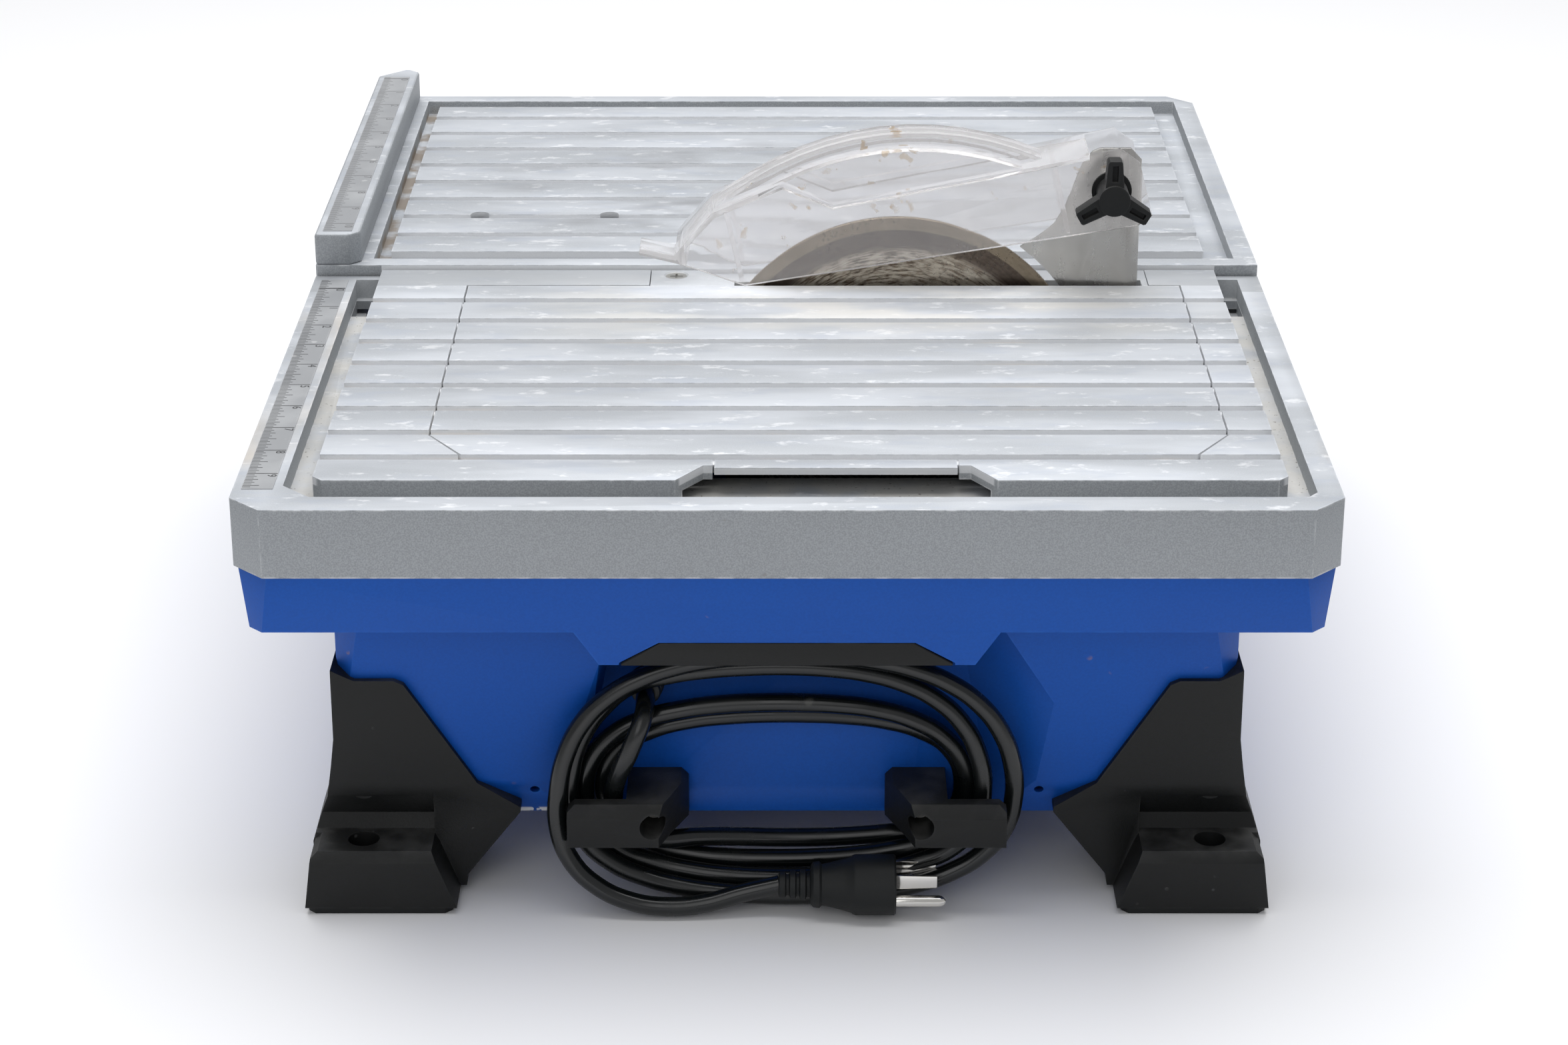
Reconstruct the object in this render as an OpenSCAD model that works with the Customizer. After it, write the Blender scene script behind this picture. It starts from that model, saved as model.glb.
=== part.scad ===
// Tabletop wet trim saw with a fixed table, a sliding table and a seven inch blade.
// X runs to the right along the cut, Y runs away from the fixed table's front edge, Z is up.
// The origin is on the floor, under the middle of the saw.

/* [Tables] */
// Width of both tables, along X
table_w = 438; // [430:1:450]
// Depth of the whole saw, along Y
saw_depth = 575; // [570:1:580]
// Height of the fixed table's rim above the floor
rim_z = 190; // [188:1:192]
// Height of the deck lands above the rim
deck_rise = 3; // [2:0.5:4]
// Width of a deck groove
groove_w = 5.5; // [4:0.5:7]
// Depth of a deck groove
groove_d = 2.6; // [2:0.1:3]
// Travel of the sliding table each way
slide_travel = 150; // [100:10:150]

/* [Blade and guard] */
// Radius of the blade
blade_r = 88.9; // [85:0.1:89]
// Thickness of the blade's core
blade_t = 2.2; // [1.6:0.1:2.4]
// Depth of the arbor axis below the rim
arbor_drop = 53.6; // [53:0.1:55]
// Place of the arbor along X
arbor_x = 51; // [48:1:54]
// Radius of the crown of the guard
crown_r = 140; // [138:1:142]
// Wall of the clear guard
guard_wall = 2.5; // [2:0.5:3]

/* [Base] */
// Wall of the blue tub
tub_wall = 3.5; // [3:0.5:4]
// Height of the tub's underside above the floor
tub_z = 32; // [30:1:36]
// Half the distance between the foot bolts, along X
foot_x = 176; // [174:1:178]
// Half the distance between the foot bolts, along Y
foot_y = 253.5; // [252:0.5:255]
// Radius of a foot bolt hole
foot_hole_r = 6.5; // [5:0.5:7]

/* [Cord] */
// Diameter of the power cord
cord_d = 8; // [7:0.5:8]

/* [Hidden] */
$fn = 64;
half_w = table_w / 2;
half_d = saw_depth / 2;
corner = 13;                      // chamfer on the outer corners
cast_z = rim_z - 29;              // underside of the fixed table's walls
deck_z = rim_z + deck_rise;       // top of the fixed deck
trough_z = rim_z - 9;             // floor of the fixed table's trough
split_y = -3;                     // rear face of the fixed table
front_land = -half_d + 23.8;      // front edge of the fixed deck
land_pitch = 27.57;
plate_gap = 0.8;                  // seam round the lift-off plate
slide_y0 = -1.5;                  // front edge of the sliding table
slide_z = rim_z + 5;              // top of the sliding table's rim
slide_low = rim_z - 7;            // underside of the sliding table's walls
slide_pitch = 28.6;
slide_land = slide_y0 + 20.2;     // front edge of the sliding deck
rod_z = rim_z - 18;               // axis of the slide rods
rod_r = 6;
rod_ys = [10, 262];               // places of the two slide rods along Y
block_x = 36;                     // rod blocks stand this far either side of the middle
fence_top = rim_z + 20;
fence_ys = [30, 240];             // screws that hold the fence, along Y
arbor_z = rim_z - arbor_drop;
blade_y = -21.2;                  // mid plane of the blade
motor_r = 42;
motor_y0 = 24;                    // front of the motor's round body
motor_y1 = 176;
screw_ring = 20;                  // radius of the ring of motor screws
shaft_r = 7.5;
arbor_end_r = 7.9;
fit = 0.05;                       // running clearance, radial
bulk_y0 = 6;                      // front face of the wall between water and motor
bulk_y1 = bulk_y0 + tub_wall;
pivot_x = 146;                    // guard pivot
pivot_z = rim_z + 53;
guard_y0 = blade_y - 18;
guard_y1 = blade_y + 18;
knife_t = 1.5;
flange_z = rim_z - 33;            // underside of the tub's flange
recess_y = -236;                  // wall behind the wound cord
pad_h = 3;
ledge_z = 28;                     // top of a foot around its bolt hole
leg_floor = 26;                   // underside of the plate that a leg screws up through
drain_x = 120;                    // drain in the tub's floor
drain_y = -190;
plug_x = -3;                      // cord end of the plug
plug_y = -268;
plug_z = 14.2;

// An outline in X and Z, pushed along Y
module prism_xz(points, y0, y1)
    translate([0, y1, 0]) rotate([90, 0, 0]) linear_extrude(y1 - y0) polygon(points);

// An outline in Y and Z, pushed along X
module prism_yz(points, x0, x1)
    translate([x0, 0, 0]) rotate([90, 0, 90]) linear_extrude(x1 - x0) polygon(points);

// An outline in X and Y, pushed up
module plan(points, z0, z1) translate([0, 0, z0]) linear_extrude(z1 - z0) polygon(points);

// A block between two corners
module block(low, high) translate(low) cube(high - low);

// A round bar along Y at (x, z)
module bar_y(r, y0, y1, x, z)
    translate([x, y1, z]) rotate([90, 0, 0]) cylinder(r = r, h = y1 - y0);

// A round bar along X at (y, z)
module bar_x(r, x0, x1, y, z)
    translate([x0, y, z]) rotate([0, 90, 0]) cylinder(r = r, h = x1 - x0);

// A rectangle with its corners cut off
function cut_rect(x0, x1, y0, y1, c) = [[x0 + c, y0], [x1 - c, y0], [x1, y0 + c], [x1, y1 - c],
    [x1 - c, y1], [x0 + c, y1], [x0, y1 - c], [x0, y0 + c]];

// Points of an arc about a centre, from angle a0 to a1
function arc(cx, cz, r, a0, a1, n) = [for (i = [0:n])
    [cx + r * cos(a0 + (a1 - a0) * i / n), cz + r * sin(a0 + (a1 - a0) * i / n)]];

// ---------------------------------------------------------------- tables

fixed_outline = [[-half_w, split_y], [-half_w, -half_d + corner], [-half_w + corner, -half_d],
    [half_w - corner, -half_d], [half_w, -half_d + corner], [half_w, split_y]];
fixed_hollow = [[-half_w + 5, split_y - 5], [-half_w + 5, -half_d + corner + 3],
    [-half_w + corner + 3, -half_d + 5], [half_w - corner - 3, -half_d + 5],
    [half_w - 5, -half_d + corner + 3], [half_w - 5, split_y - 5]];
deck_x0 = -188;
deck_x1 = 198.6;
plate_x0 = -146;
plate_x1 = 180;
plate_y1 = -25.4;
throat_x0 = -62.6;
throat_x1 = 165.8;
front_seam = front_land + land_pitch - groove_w;

// The lift-off plate's outline, grown by g
function plate_outline(g) = [[plate_x0 - g, plate_y1 + g], [plate_x0 - g, -214],
    [plate_x0 + 18 - g, front_seam + 0.8 - g], [-29 - g, front_seam + 0.8 - g], [-29 - g, -250.5],
    [68 + g, -250.5], [68 + g, front_seam + 0.8 - g], [plate_x1 - 18 + g, front_seam + 0.8 - g],
    [plate_x1 + g, -214], [plate_x1 + g, plate_y1 + g]];

finger_pocket = [[-45, front_land - 1], [84, front_land - 1], [73.5, -248], [-33.5, -248]];

module fixed_grooves() for (k = [1:8])
    block([-half_w + 20, front_land + land_pitch * k - groove_w, deck_z - groove_d],
        [half_w - 15, front_land + land_pitch * k, deck_z + 1]);

module main_table() color("lightgray") difference() {
    union() {
        difference() {
            union() {
                difference() {
                    plan(fixed_outline, cast_z, rim_z);
                    plan([[-199.5, -8], [-199.5, -262], [-188, -273.8], [205, -273.8],
                        [209, -269], [209, -8]], trough_z, rim_z + 1);
                }
                plan([[deck_x0, split_y], [deck_x0, front_land + 4], [deck_x0 + 4, front_land],
                    [deck_x1 - 4, front_land], [deck_x1, front_land + 4], [deck_x1, split_y]],
                    trough_z - 4, deck_z);
            }
            plan(fixed_hollow, cast_z - 1, trough_z - 4);
            block([deck_x0 + 4, front_land + 4, trough_z - 5], [deck_x1 - 4, split_y - 5, deck_z - 6]);
        }
        // floor of the finger pocket and the ledges that carry the two plates
        block([-60, front_land, trough_z - 4], [98, front_land + 32, trough_z]);
        block([plate_x0 - 6, front_seam - 4, deck_z - 10], [plate_x0 + 6, plate_y1, deck_z - 6]);
        block([plate_x1 - 6, front_seam - 4, deck_z - 10], [plate_x1 + 6, plate_y1, deck_z - 6]);
        block([plate_x0 - 6, plate_y1 - 7, deck_z - 10], [plate_x1 + 6, plate_y1, deck_z - 6]);
        block([plate_x0 - 6, front_seam - 6, deck_z - 10], [-45, front_seam + 6, deck_z - 6]);
        block([84, front_seam - 6, deck_z - 10], [plate_x1 + 6, front_seam + 6, deck_z - 6]);
        block([throat_x0 - 7, plate_y1 - 1, deck_z - 10], [throat_x0 + 6, split_y - 4, deck_z - 6]);
        block([throat_x1 - 4, plate_y1 - 1, deck_z - 10], [throat_x1 + 7, split_y - 4, deck_z - 6]);
        block([-58, split_y - 12, deck_z - 24], [-44, split_y - 1, deck_z - 6]);
        for (x = [-203, 203], y = [-266, -20])
            block([x - 8, y - 8, cast_z], [x + 8, y + 8, trough_z - 2]);
    }
    plan(plate_outline(plate_gap), deck_z - 6, deck_z + 1);
    plan(finger_pocket, trough_z, deck_z + 1);
    block([throat_x0 - 0.5, plate_y1 - 1, deck_z - 6], [throat_x1 + 0.5, split_y + 1, deck_z + 1]);
    translate([-51, -10, deck_z - 25]) cylinder(r = 2.05, h = 30);
    fixed_grooves();
    block([-199.4, -34, trough_z - 6], [-189.5, -12, trough_z + 1]);
    block([199.8, -34, trough_z - 6], [208.9, -12, trough_z + 1]);
    for (x = [-203, 203], y = [-266, -20]) translate([x, y, cast_z - 1]) cylinder(r = 2.55, h = 13);
}

module table_ruler() color("gainsboro") block([-215.5, -266, rim_z], [-203, -9, rim_z + 0.3]);

module access_plate() color("whitesmoke") difference() {
    plan(plate_outline(0), deck_z - 6, deck_z);
    fixed_grooves();
    block([-40, -260, deck_z - 7], [80, front_seam + 0.8, deck_z - 3]);
}

module throat_plate() color("whitesmoke") difference() {
    block([throat_x0, plate_y1, deck_z - 6], [throat_x1, split_y - 0.2, deck_z]);
    block([-24, plate_y1 - 1, deck_z - 7], [163, blade_y + 3.7, deck_z + 1]);
    translate([-51, -10, deck_z - 7]) cylinder(r = 2.4, h = 9);
    translate([-51, -10, deck_z - 3]) cylinder(r1 = 2.4, r2 = 5.6, h = 3.01);
}

module throat_screw() color("silver") translate([-51, -10, 0]) difference() {
    union() {
        translate([0, 0, deck_z - 3.3]) cylinder(r1 = 2, r2 = 4.9, h = 2.8);
        translate([0, 0, deck_z - 18]) cylinder(r = 2, h = 15);
    }
    for (a = [0, 90]) rotate(a) block([-3, -0.5, deck_z - 1.9], [3, 0.5, deck_z]);
}

module table_screws() color("silver") for (x = [-203, 203], y = [-266, -20]) translate([x, y, 0]) {
    translate([0, 0, flange_z - 3]) cylinder(r = 4.5, h = 3);
    translate([0, 0, flange_z - 0.1]) cylinder(r = 2.5, h = 13);
}

// ---------------------------------------------------------------- base

tub_xz = [[-184, cast_z - 1], [184, cast_z - 1], [184, 110], [168, tub_z], [-168, tub_z], [-184, 110]];
tub_yz = [[-262, cast_z - 1], [-262, 136], [-247, 52], [-236, tub_z], [236, tub_z], [247, 52],
    [262, 136], [262, cast_z - 1]];
tub_in_xz = [[-184 + tub_wall, cast_z], [184 - tub_wall, cast_z], [184 - tub_wall, 110],
    [168 - tub_wall, tub_z + tub_wall], [-168 + tub_wall, tub_z + tub_wall], [-184 + tub_wall, 110]];
tub_in_yz = [[-262 + tub_wall, cast_z], [-262 + tub_wall, 136], [-247 + tub_wall, 52],
    [-235 + tub_wall, tub_z + tub_wall], [235 - tub_wall, tub_z + tub_wall], [247 - tub_wall, 52],
    [262 - tub_wall, 136], [262 - tub_wall, cast_z]];

module tub_shape() intersection() {
    prism_xz(tub_xz, -270, 270);
    prism_yz(tub_yz, -190, 190);
    plan(cut_rect(-184, 184, -262, 262, 12), 0, cast_z);
}

// The recess where the cord is wound, grown by g
module cord_recess(g) {
    back = [[-64 - g, flange_z], [64 + g, flange_z], [87 + g, tub_z - 1], [-87 - g, tub_z - 1]];
    mouth = [[-70 - g, flange_z], [70 + g, flange_z], [150 + g, tub_z - 1], [-150 - g, tub_z - 1]];
    polyhedron(points = concat([for (p = back) [p[0], recess_y + g, p[1]]],
        [for (p = mouth) [p[0], -270, p[1]]]),
        faces = [[3, 2, 1, 0], [5, 6, 7, 4], [5, 4, 0], [1, 5, 0], [6, 5, 1], [2, 6, 1],
            [7, 6, 2], [3, 7, 2], [4, 7, 3], [0, 4, 3]]);
}

skirt_xz = [[-half_w + 1.5, cast_z], [half_w - 1.5, cast_z], [half_w - 5.2, cast_z - 25.4],
    [-half_w + 5.2, cast_z - 25.4]];
skirt_yz = [[-half_d + 1, cast_z], [half_d - 1, cast_z], [half_d - 4.7, cast_z - 25.4],
    [-half_d + 4.7, cast_z - 25.4]];

module skirt() difference() {
    intersection() {
        prism_xz(skirt_xz, -half_d, half_d);
        prism_yz(skirt_yz, -half_w, half_w);
        plan(cut_rect(-half_w + 1.5, half_w - 1.5, -half_d + 1, half_d - 1, 13), 0, cast_z);
    }
    plan(cut_rect(-half_w + 9, half_w - 9, -half_d + 9, half_d - 9, 13), 100, flange_z);
}

// The front lip that hangs down in the middle of the skirt
lip_yz = [[-half_d + 1, cast_z], [-half_d + 6.9, cast_z - 40.8], [-half_d + 10.4, cast_z - 40.8],
    [-half_d + 4.5, cast_z]];
grip_xz = [[-51, rim_z - 59.2], [51, rim_z - 59.2], [67, rim_z - 68.6], [67, rim_z - 70],
    [-67, rim_z - 70], [-67, rim_z - 68.6]];

module base_tub() color("royalblue") difference() {
    union() {
        difference() {
            tub_shape();
            difference() {
                intersection() {
                    prism_xz(tub_in_xz, -270, 270);
                    prism_yz(tub_in_yz, -190, 190);
                    plan(cut_rect(-184 + tub_wall, 184 - tub_wall, -262 + tub_wall, 262 - tub_wall, 11),
                        tub_z + tub_wall, cast_z);
                }
                cord_recess(tub_wall);
                block([-190, bulk_y0, 0], [190, bulk_y1, cast_z]);
            }
            cord_recess(0);
        }
        difference() {
            skirt();
            for (span = [[-262 + tub_wall, -10], [bulk_y1, 262 - tub_wall]])
                block([-184 + tub_wall, span[0], flange_z - 1], [184 - tub_wall, span[1], cast_z + 1]);
        }
        block([-90, -262, flange_z], [90, recess_y + tub_wall, cast_z]);
        intersection() {
            prism_xz([[-85, cast_z - 25], [85, cast_z - 25], [75, rim_z - 69.6],
                [-75, rim_z - 69.6]], -half_d, -half_d + 20);
            prism_yz(lip_yz, -90, 90);
        }
    }
    prism_xz(grip_xz, -half_d, -half_d + 12);
    bar_y(14, bulk_y0 - 1, bulk_y1 + 1, arbor_x, arbor_z);
    for (a = [45:90:315]) bar_y(2.1, bulk_y0 - 1, bulk_y1 + 1, arbor_x + screw_ring * cos(a), arbor_z + screw_ring * sin(a));
    translate([drain_x, drain_y, tub_z - 1]) cylinder(r = 9, h = tub_wall + 2);
    for (x = [-152, 152], y = [-222, 222]) translate([x, y, tub_z - 1]) cylinder(r = 2.6, h = 4);
    for (x = [-55, 55]) bar_y(2.3, recess_y - 1, recess_y + 3, x, 44);
    for (i = [0:5]) block([-40 + 30 * i, 70, tub_z - 1], [-34 + 30 * i, 160, tub_z + tub_wall + 1]);
    for (x = [-203, 203], y = [-266, -20]) translate([x, y, flange_z - 1]) cylinder(r = 2.7, h = 7);
    for (x = [-105, 105]) bar_y(2, -262, -230, x, 46);
}

module rear_cover() color("royalblue") difference() {
    union() {
        block([-190, split_y + 1, cast_z], [190, 274, cast_z + 2]);
        intersection() {
            bar_y(motor_r + 2.5, motor_y0 - 2.5, motor_y1 + 4, arbor_x, arbor_z);
            block([-50, 0, cast_z], [150, 250, rim_z]);
        }
    }
    bar_y(motor_r + 0.6, motor_y0 - 0.5, motor_y1 + 2, arbor_x, arbor_z);
    for (x = [-184, 184], y = [40, 220]) translate([x, y, cast_z - 1]) cylinder(r = 2.1, h = 5);
}

module rear_cover_screws() color("silver") for (x = [-184, 184], y = [40, 220]) translate([x, y, 0]) {
    translate([0, 0, cast_z + 2]) cylinder(r = 4, h = 2);
    translate([0, 0, cast_z]) cylinder(r = 2, h = 2.5);
}

// A front left leg: an upright skin against the tub with a web at its right, and a foot block
leg_xz = [[-198, pad_h], [-134.5, pad_h], [-134, 8], [-111, 37.5], [-111, 40], [-128.3, 52],
    [-156, 101], [-160, 103], [-176, 103], [-185.5, 108], [-186.5, 74], [-188.5, 60], [-191, 45],
    [-194.8, 34], [-198, 24]];
leg_yz = [[-248, pad_h], [-248, 38], [-250, 52], [-259.6, 106], [-259.6, 112], [-206, 112],
    [-206, pad_h]];
foot_xz = [[-200, pad_h], [-137, pad_h], [-145, 24], [-147, ledge_z], [-194, ledge_z], [-197, 25.5]];
foot_yz = [[-268, pad_h], [-268, 24], [-264.5, ledge_z], [-225, ledge_z], [-225, pad_h]];
scoop_yz = [[-270, ledge_z], [-244, ledge_z], [-241, ledge_z + 6], [-249.4, 47], [-270, 47]];

module front_left_leg() difference() {
    union() {
        intersection() {
            prism_xz(leg_xz, -270, -200);
            prism_yz(leg_yz, -205, -100);
        }
        intersection() {
            prism_xz(foot_xz, -270, -200);
            prism_yz(foot_yz, -205, -100);
        }
    }
    prism_yz(scoop_yz, -205, -147);
    tub_shape();
    translate([-foot_x, -foot_y, 0]) cylinder(r = foot_hole_r, h = 45);
    block([-191, -240, 0], [-146, -210, leg_floor]);
    translate([-152, -222, 0]) cylinder(r = 2.55, h = 60);
}

module leg_front_left() color("dimgray") front_left_leg();
module leg_front_right() color("dimgray") mirror([1, 0, 0]) front_left_leg();
module leg_rear_left() color("dimgray") mirror([0, 1, 0]) front_left_leg();
module leg_rear_right() color("dimgray") mirror([1, 0, 0]) mirror([0, 1, 0]) front_left_leg();

module foot_pads() color("black") for (mx = [-1, 1], my = [-1, 1])
    translate([mx * 169, my * 237, 0]) difference() {
        plan(cut_rect(-30, 30, -30, 30, 3), 0, pad_h);
        translate([mx * (foot_x - 169), my * (foot_y - 237), -1]) cylinder(r = foot_hole_r + 1, h = 5);
    }

module leg_screws() color("silver") for (mx = [-1, 1], my = [-1, 1]) translate([mx * 152, my * 222, 0]) {
    translate([0, 0, leg_floor - 3]) cylinder(r = 4.5, h = 3);
    translate([0, 0, leg_floor - 0.5]) cylinder(r = 2.5, h = tub_z - leg_floor + 3);
}

module carry_grip() color("#2b2b2b") intersection() {
    prism_xz([[-50.6, rim_z - 59.4], [50.6, rim_z - 59.4], [66.2, rim_z - 69], [66.2, rim_z - 70],
        [-66.2, rim_z - 70], [-66.2, rim_z - 69]], -half_d, -half_d + 22);
    prism_yz([[-half_d + 0.8, cast_z], [-half_d + 6.7, cast_z - 41.2], [-half_d + 20, cast_z - 41.2],
        [-half_d + 20, cast_z]], -90, 90);
}

// A hook for the cord: a post on the recess wall that slopes down to a plate across its end
module cord_hook(s) color("#2b2b2b") difference() {
    intersection() {
        prism_xz([[s * 41, 33], [s * 44, 31], [s * 87, 31], [s * 90, 34], [s * 90, 50], [s * 87, 52.5],
            [s * 44, 52.5], [s * 41, 49.5]], -275, recess_y);
        prism_yz([[-275, 35], [-275, 48], [-270, 52.5], [recess_y, 52.5], [recess_y, 33], [-262, 35]],
            s * 65 - 45, s * 65 + 45);
        plan([[s * 41, recess_y], [s * 41, -243], [s * 52.5, -275], [s * 90, -275], [s * 90, -265],
            [s * 66, -265], [s * 66, recess_y]], 30, 70);
    }
    bar_y(5.2, -276, -255, s * 55, 44);
    bar_y(2.3, -276, -230, s * 55, 44);
}

module cord_hook_left() cord_hook(-1);
module cord_hook_right() cord_hook(1);

module cord_hook_screws() color("silver") for (s = [-1, 1]) {
    bar_y(3.9, -258, -255.1, s * 55, 44);
    bar_y(2.2, -255.2, recess_y + 2.5, s * 55, 44);
}

module drain_plug() color("#222222") translate([drain_x, drain_y, 0]) {
    translate([0, 0, tub_z - 3]) cylinder(r = 13, h = 3);
    translate([0, 0, tub_z - 1]) cylinder(r = 8.95, h = tub_wall + 2);
    translate([0, 0, tub_z - 10]) cylinder(r = 5, h = 8);
}

module switch_box() color("#2b2b2b") difference() {
    prism_xz([[-184, 130], [-184, 110], [-183.4, 106], [-206, 88], [-206, 130]], -62, -2);
    tub_shape();
    block([-207, -44, 98], [-192, -20, 122]);
    bar_y(2.06, -47, -17, rocker_x, rocker_z);
}

// The rocker turns about a pin along Y; it lies with its lower half pressed in
rocker_x = -201;
rocker_z = 110;
module rocker_switch() color("firebrick") translate([rocker_x, 0, rocker_z]) rotate([0, -8, 0]) {
    prism_xz([[-8.5, 9.5], [-6, 0], [-8.5, -9.5], [1.5, -9.5], [1.5, 9.5]], -43.4, -20.6);
    bar_y(2, -46, -18, 0, 0);
}

module shaft_seal() color("black") difference() {
    union() {
        bar_y(14, bulk_y0, bulk_y1, arbor_x, arbor_z);
        bar_y(15.5, bulk_y0 - 2, bulk_y0, arbor_x, arbor_z);
    }
    bar_y(shaft_r + fit, bulk_y0 - 3, bulk_y1 + 1, arbor_x, arbor_z);
}

// ---------------------------------------------------------------- motor

module motor_front_bell() color("silver") difference() {
    union() {
        bar_y(23.5, bulk_y1, motor_y0 + 1, arbor_x, arbor_z);
        bar_y(motor_r, motor_y0, motor_y0 + 10, arbor_x, arbor_z);
    }
    bar_y(13, bulk_y1 - 1, bulk_y1 + 4, arbor_x, arbor_z);
    bar_y(17.5, bulk_y1 + 4, motor_y0 + 1, arbor_x, arbor_z);
    bar_y(38, motor_y0 + 3, motor_y0 + 11, arbor_x, arbor_z);
    bar_y(20, motor_y0 - 1, motor_y0 + 4, arbor_x, arbor_z);
    for (a = [45:90:315])
        bar_y(2.05, bulk_y1 - 1, bulk_y1 + 8, arbor_x + screw_ring * cos(a), arbor_z + screw_ring * sin(a));
}

module motor_housing() color("dimgray") difference() {
    bar_y(motor_r, motor_y0 + 10, 150, arbor_x, arbor_z);
    bar_y(motor_r - 2.5, motor_y0 + 9, 151, arbor_x, arbor_z);
}

module motor_rear_bell() color("silver") difference() {
    bar_y(motor_r, 150, motor_y1, arbor_x, arbor_z);
    bar_y(motor_r - 3, 149, motor_y1 - 3, arbor_x, arbor_z);
    for (a = [0:45:315]) translate([arbor_x, 0, arbor_z]) rotate([0, a, 0])
        block([17, motor_y1 - 4, -3], [34, motor_y1 + 1, 3]);
}

module motor_stator() color("peru") difference() {
    bar_y(motor_r - 2.6, 52, 116, arbor_x, arbor_z);
    bar_y(24, 51, 117, arbor_x, arbor_z);
}

module motor_bearings() color("silver") for (y = [bulk_y1 + 4, 162]) difference() {
    bar_y(17.4, y, y + 11, arbor_x, arbor_z);
    bar_y(shaft_r + fit, y - 1, y + 12, arbor_x, arbor_z);
}

// A steel cradle from the tub's floor up to the motor
module motor_bracket() color("gray") difference() {
    union() {
        block([arbor_x - 40, 120, tub_z + tub_wall], [arbor_x + 40, 122.5, arbor_z - 10]);
        block([arbor_x - 40, 120, tub_z + tub_wall], [arbor_x + 40, 146, tub_z + tub_wall + 2.5]);
    }
    bar_y(motor_r, 110, 150, arbor_x, arbor_z);
    block([arbor_x - 22, 110, tub_z + tub_wall + 14], [arbor_x + 22, 130, arbor_z - motor_r - 12]);
}

module motor_screws() color("silver") for (a = [45:90:315])
    translate([arbor_x + screw_ring * cos(a), 0, arbor_z + screw_ring * sin(a)]) {
        bar_y(3.5, bulk_y0 - 2.5, bulk_y0, 0, 0);
        bar_y(2, bulk_y0 - 0.5, bulk_y1 + 3.5, 0, 0);
    }

module run_capacitor() color("slategray") {
    bar_y(16, 60, 118, -62, tub_z + tub_wall + 16);
    block([-70, 80, tub_z + tub_wall], [-54, 98, tub_z + tub_wall + 6]);
}

// ---------------------------------------------------------------- arbor

module arbor_shaft() color("silver") {
    bar_y(shaft_r, -8, motor_y1 - 3.2, arbor_x, arbor_z);
    bar_y(arbor_end_r, -40, -8, arbor_x, arbor_z);
}

module motor_rotor() color("gray") difference() {
    bar_y(23.5, 52, 116, arbor_x, arbor_z);
    bar_y(shaft_r + 0.02, 51, 117, arbor_x, arbor_z);
}

module cooling_fan() color("black") difference() {
    union() {
        bar_y(12, 124, 140, arbor_x, arbor_z);
        bar_y(36, 124, 126, arbor_x, arbor_z);
        for (a = [0:40:320]) translate([arbor_x, 0, arbor_z]) rotate([0, a, 0])
            block([10, 125, -1], [36, 140, 1]);
    }
    bar_y(shaft_r + 0.02, 123, 141, arbor_x, arbor_z);
}

module inner_flange() color("silver") difference() {
    union() {
        bar_y(20, blade_y + blade_t / 2, -14, arbor_x, arbor_z);
        bar_y(12, -14, -8, arbor_x, arbor_z);
    }
    bar_y(arbor_end_r + 0.02, blade_y, 0, arbor_x, arbor_z);
}

module saw_blade() color("saddlebrown") difference() {
    bar_y(blade_r, blade_y - blade_t / 2, blade_y + blade_t / 2, arbor_x, arbor_z);
    bar_y(arbor_end_r + 0.03, blade_y - 3, blade_y + 3, arbor_x, arbor_z);
}

module outer_flange() color("silver") difference() {
    bar_y(20, -28, blade_y - blade_t / 2, arbor_x, arbor_z);
    bar_y(arbor_end_r + 0.02, -30, blade_y, arbor_x, arbor_z);
}

module arbor_nut() color("silver") difference() {
    translate([arbor_x, -28, arbor_z]) rotate([90, 0, 0]) cylinder(r = 13.5, h = 9, $fn = 6);
    bar_y(arbor_end_r + 0.02, -40, -20, arbor_x, arbor_z);
}

// ---------------------------------------------------------------- knife and guard

knife_r = blade_r + 4;
function knife_angle(z) = asin((z - arbor_z) / knife_r);
knife_xz = concat([[161, 128], [161, rim_z + 62], [156, rim_z + 67.4], [142, rim_z + 67.4],
    [138.5, rim_z + 65.8], [134.3, rim_z + 60.7], [130.6, rim_z + 50], [127.6, rim_z + 41.5],
    [122, rim_z + 33], [115, rim_z + 26.6]],
    arc(arbor_x, arbor_z, knife_r, knife_angle(rim_z + 20.6), knife_angle(rim_z - 40), 8),
    [[143.5, 128]]);

module riving_knife() color("silver") difference() {
    prism_xz(knife_xz, blade_y - knife_t / 2, blade_y + knife_t / 2);
    bar_y(3.08, blade_y - 3, blade_y + 3, pivot_x, pivot_z);
    for (z = [133, 142]) bar_y(2.1, blade_y - 3, blade_y + 3, 152, z);
}

module knife_bracket() color("gray") difference() {
    block([145, blade_y + knife_t / 2, 127], [159, bulk_y0, 148]);
    for (z = [133, 142]) bar_y(2.05, blade_y - 1, blade_y + 12, 152, z);
}

module knife_screws() color("silver") for (z = [133, 142]) {
    bar_y(3.6, blade_y - knife_t / 2 - 2.5, blade_y - knife_t / 2, 152, z);
    bar_y(2, blade_y - knife_t / 2 - 0.5, blade_y + 10, 152, z);
}

crown_x = 59;
crown_c = rim_z + 76.4 - crown_r;
function crown(r) = arc(crown_x, crown_c, r, 61, 133, 14);
low_edge = [[-19, rim_z + 7.5], [158.5, rim_z + 36]];

// The wide lower box of the guard, with a tongue at its front
guard_box = [[-67, rim_z + 22.4], [-66.5, rim_z + 25.2], [-51, rim_z + 21.8], [-47, rim_z + 27],
    [-34, rim_z + 42], [-2, rim_z + 56], [21, rim_z + 46], [120, rim_z + 65.5],
    [146, rim_z + 71.2], [149.5, rim_z + 72], [158.5, rim_z + 65.5], [165, rim_z + 41],
    [158.5, rim_z + 36], [-19, rim_z + 7.5], [-40, rim_z + 15], [-50, rim_z + 18.2]];

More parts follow.
